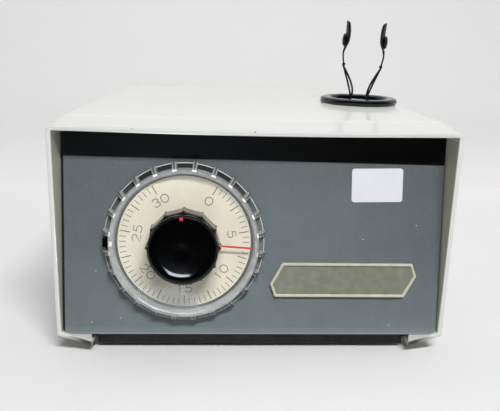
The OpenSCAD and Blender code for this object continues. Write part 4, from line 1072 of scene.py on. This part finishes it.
def jaw_pad(side, name):
    """Round domed pad on the jaw's outer face."""
    arc = [math.pi / 2 * k / 10 for k in range(10)]
    edge = [(PAD_R * math.cos(a), 0.6 + (PAD_T - 0.6) * math.sin(a)) for a in arc]
    profile = [(0.01, -0.4), (PAD_R, -0.4), *edge, (0.01, PAD_T)]
    at = moved(side * (jaw_mid(PAD_AT) + 0.5), 0, JAW_Z + PAD_AT * JAW_H)
    return lathe(name, profile, FORK @ at @ turned(90 * side, "Y"), 40)


def make_jaw(side, name, body):
    """One jaw with its thin neck, its pad and the clip that gathers the two wires."""
    start = Vector((side * FERRULE_X, 0, FERRULE_Z))
    end = Vector((side * (jaw_mid(0) + 0.1), 0, JAW_Z + 2))
    lean = Vector((side * 0.5, 0, 0))
    stem = [start.lerp(end, i / 10) + lean * math.sin(math.pi * i / 10) for i in range(11)]
    meshes = [jaw_sheet(side, name), swept(name, stem, STEM_R, FORK), clip_box(side, name),
              jaw_pad(side, name)]
    obj = add_piece(name, joined(name, meshes), body, "spring_black", "spring_black",
                    body.replace("arm", "jaw"), sharp=50)
    bevelled(obj, 0.3, 2, 50)


# CAD nodes get their slot's material, apart from these
NODE_PAINT = {"preset_pointer": "pointer_red", "preset_dial": "rim_acrylic"}


def paint_nodes():
    slots = {s["node"]: s["material_slot"] for s in frame["record"]["subparts"]}
    for name, node in nodes.items():
        paint = PAINTS[NODE_PAINT.get(name) or slots[name]]
        node.data.materials.clear()
        node.data.materials.append(paint)


# Camera, light and floor
CAMERA_AT = (-25.36, -365.99, 198.13)
PITCH, YAW, ROLL = 15.531, 3.368, 1.635
FOCAL = 647.79 / 500 * 36


def make_camera():
    forward = Vector((math.sin(rad(YAW)) * math.cos(rad(PITCH)),
                      math.cos(rad(YAW)) * math.cos(rad(PITCH)), -math.sin(rad(PITCH))))
    right = Vector((math.cos(rad(YAW)), -math.sin(rad(YAW)), 0))
    up = right.cross(forward)
    across = right * math.cos(rad(ROLL)) + up * math.sin(rad(ROLL))
    over = -right * math.sin(rad(ROLL)) + up * math.cos(rad(ROLL))
    data = bpy.data.cameras.new("photo_camera")
    data.lens = FOCAL
    data.sensor_width = 36
    data.clip_start, data.clip_end = 0.01, 20
    camera = bpy.data.objects.new("photo_camera", data)
    bpy.context.scene.collection.objects.link(camera)
    facing = Matrix((across, over, -forward)).transposed().to_4x4()
    camera.matrix_world = moved(*(CASE @ Vector(CAMERA_AT))) @ facing
    bpy.context.scene.camera = camera


KEY_HEIGHT, KEY_DISTANCE = 51, 2.2
KEY_SIZE, CARD_SIZE, FILL_SIZE, TOP_SIZE = (1.1, 0.12), (0.055, 0.12), (1.6, 1.2), (1.6, 1.0)
KEY_POWER, CARD_POWER, FILL_POWER, TOP_POWER = 52, 0.8, 2.2, 7
LIT_AT = Vector((0, -0.12, 0.1))
CARD_AT, CARD_UP = (-0.065, -0.31, 0.003), (-0.06, -0.28, 1)
FILL_AT, TOP_AT = (0.3, -1.7, 0.9), (0.1, 0.15, 1.8)
AMBIENT, AMBIENT_TONE = 0.15, (1, 0.99, 0.97, 1)
ROOM_SEEN = (0.765, 0.770, 0.768, 1)
ROOM_DARK = (0.006, 0.006, 0.007, 1)


def area_lamp(name, size, power, place, target=LIT_AT):
    data = bpy.data.lights.new(name, "AREA")
    data.shape = "RECTANGLE"
    data.size, data.size_y = size
    data.energy = power
    lamp = bpy.data.objects.new(name, data)
    bpy.context.scene.collection.objects.link(lamp)
    lamp.location = place
    lamp.rotation_mode = "QUATERNION"
    lamp.rotation_quaternion = (Vector(target) - Vector(place)).to_track_quat("-Z", "Y")
    return lamp


def room(tree):
    """Pale where the camera sees it. Reflections see a darker side in front of the part."""
    made = partial(new_node, tree)
    path = made("ShaderNodeLightPath")
    way = made("ShaderNodeSeparateXYZ")
    tree.links.new(made("ShaderNodeTexCoord").outputs["Generated"], way.inputs[0])
    behind = made("ShaderNodeMapRange")
    behind.inputs["From Min"].default_value = -0.25
    behind.inputs["From Max"].default_value = 0.1
    tree.links.new(way.outputs["Y"], behind.inputs["Value"])
    mirrored = made("ShaderNodeMath", operation="MAXIMUM")
    tree.links.new(path.outputs["Is Glossy Ray"], mirrored.inputs[0])
    tree.links.new(path.outputs["Is Transmission Ray"], mirrored.inputs[1])

    def glow(colour, strength=1.0):
        node = made("ShaderNodeBackground")
        node.inputs["Color"].default_value = colour
        node.inputs["Strength"].default_value = strength
        return node.outputs[0]

    def mixed(factor, first, second):
        mix = made("ShaderNodeMixShader")
        for source, target in zip((factor, first, second), mix.inputs):
            tree.links.new(source, target)
        return mix.outputs[0]

    shown = glow(ROOM_SEEN)
    reflected = mixed(behind.outputs[0], glow(ROOM_DARK), shown)
    others = mixed(mirrored.outputs[0], glow(AMBIENT_TONE, AMBIENT), reflected)
    whole = mixed(path.outputs["Is Camera Ray"], others, shown)
    tree.links.new(whole, made("ShaderNodeOutputWorld").inputs["Surface"])


def make_light():
    """One long lamp above the front, soft ones overhead and behind the camera, a pale room."""
    way = Vector((0.15, -math.cos(rad(KEY_HEIGHT)), math.sin(rad(KEY_HEIGHT))))
    key = area_lamp("key_light", KEY_SIZE, KEY_POWER, LIT_AT + way * KEY_DISTANCE)
    key.visible_glossy = False
    # Bright patch of the table that the knob's lower shoulder mirrors
    card = area_lamp("low_card", CARD_SIZE, CARD_POWER, CARD_AT, CARD_UP)
    card.data.color = (0.84, 0.93, 1.0)
    card.visible_diffuse = card.visible_camera = False
    fill = area_lamp("fill_light", FILL_SIZE, FILL_POWER, FILL_AT)
    fill.visible_glossy = False
    area_lamp("top_light", TOP_SIZE, TOP_POWER, TOP_AT)
    world = bpy.data.worlds.new("pale_room")
    bpy.context.scene.world = world
    world.use_nodes = True
    world.node_tree.nodes.clear()
    room(world.node_tree)


def make_floor():
    """A plain pale sheet, flat under the part and curving up behind it."""
    front, run, bend, flat, steps = -1.5, 3.2, 0.9, 0.75, 24
    rows = []
    for k in range(steps + 1):
        t = k / steps
        a = (t - flat) * 2 * math.pi
        rows.append((front + run * t, 0.0) if t < flat else
                    (bend + bend * math.sin(a), bend * (1 - math.cos(a))))
    cols = [-2.2 + 4.4 * k / 8 for k in range(9)]
    points = [(x, y, z) for y, z in rows for x in cols]
    mesh = bpy.data.meshes.new("floor")
    mesh.from_pydata(points, [], grid_faces(len(rows), len(cols)))
    mesh.shade_smooth()
    floor = bpy.data.objects.new("floor", mesh)
    bpy.context.scene.collection.objects.link(floor)
    mesh.materials.append(floor_paint())


for make in (make_camera, make_light, make_floor, paint_nodes, make_hood, make_webs,
             make_grommet, make_scale, make_clear_rim, make_notch, make_grip, make_cap,
             make_dot, make_plate):
    make()
for side, name in ((-1, "left"), (1, "right")):
    make_arm(side, name + "_spring", name + "_arm")
    make_jaw(side, name + "_blade", name + "_arm")

bpy.context.scene.view_settings.view_transform = "Standard"
bpy.context.view_layer.update()
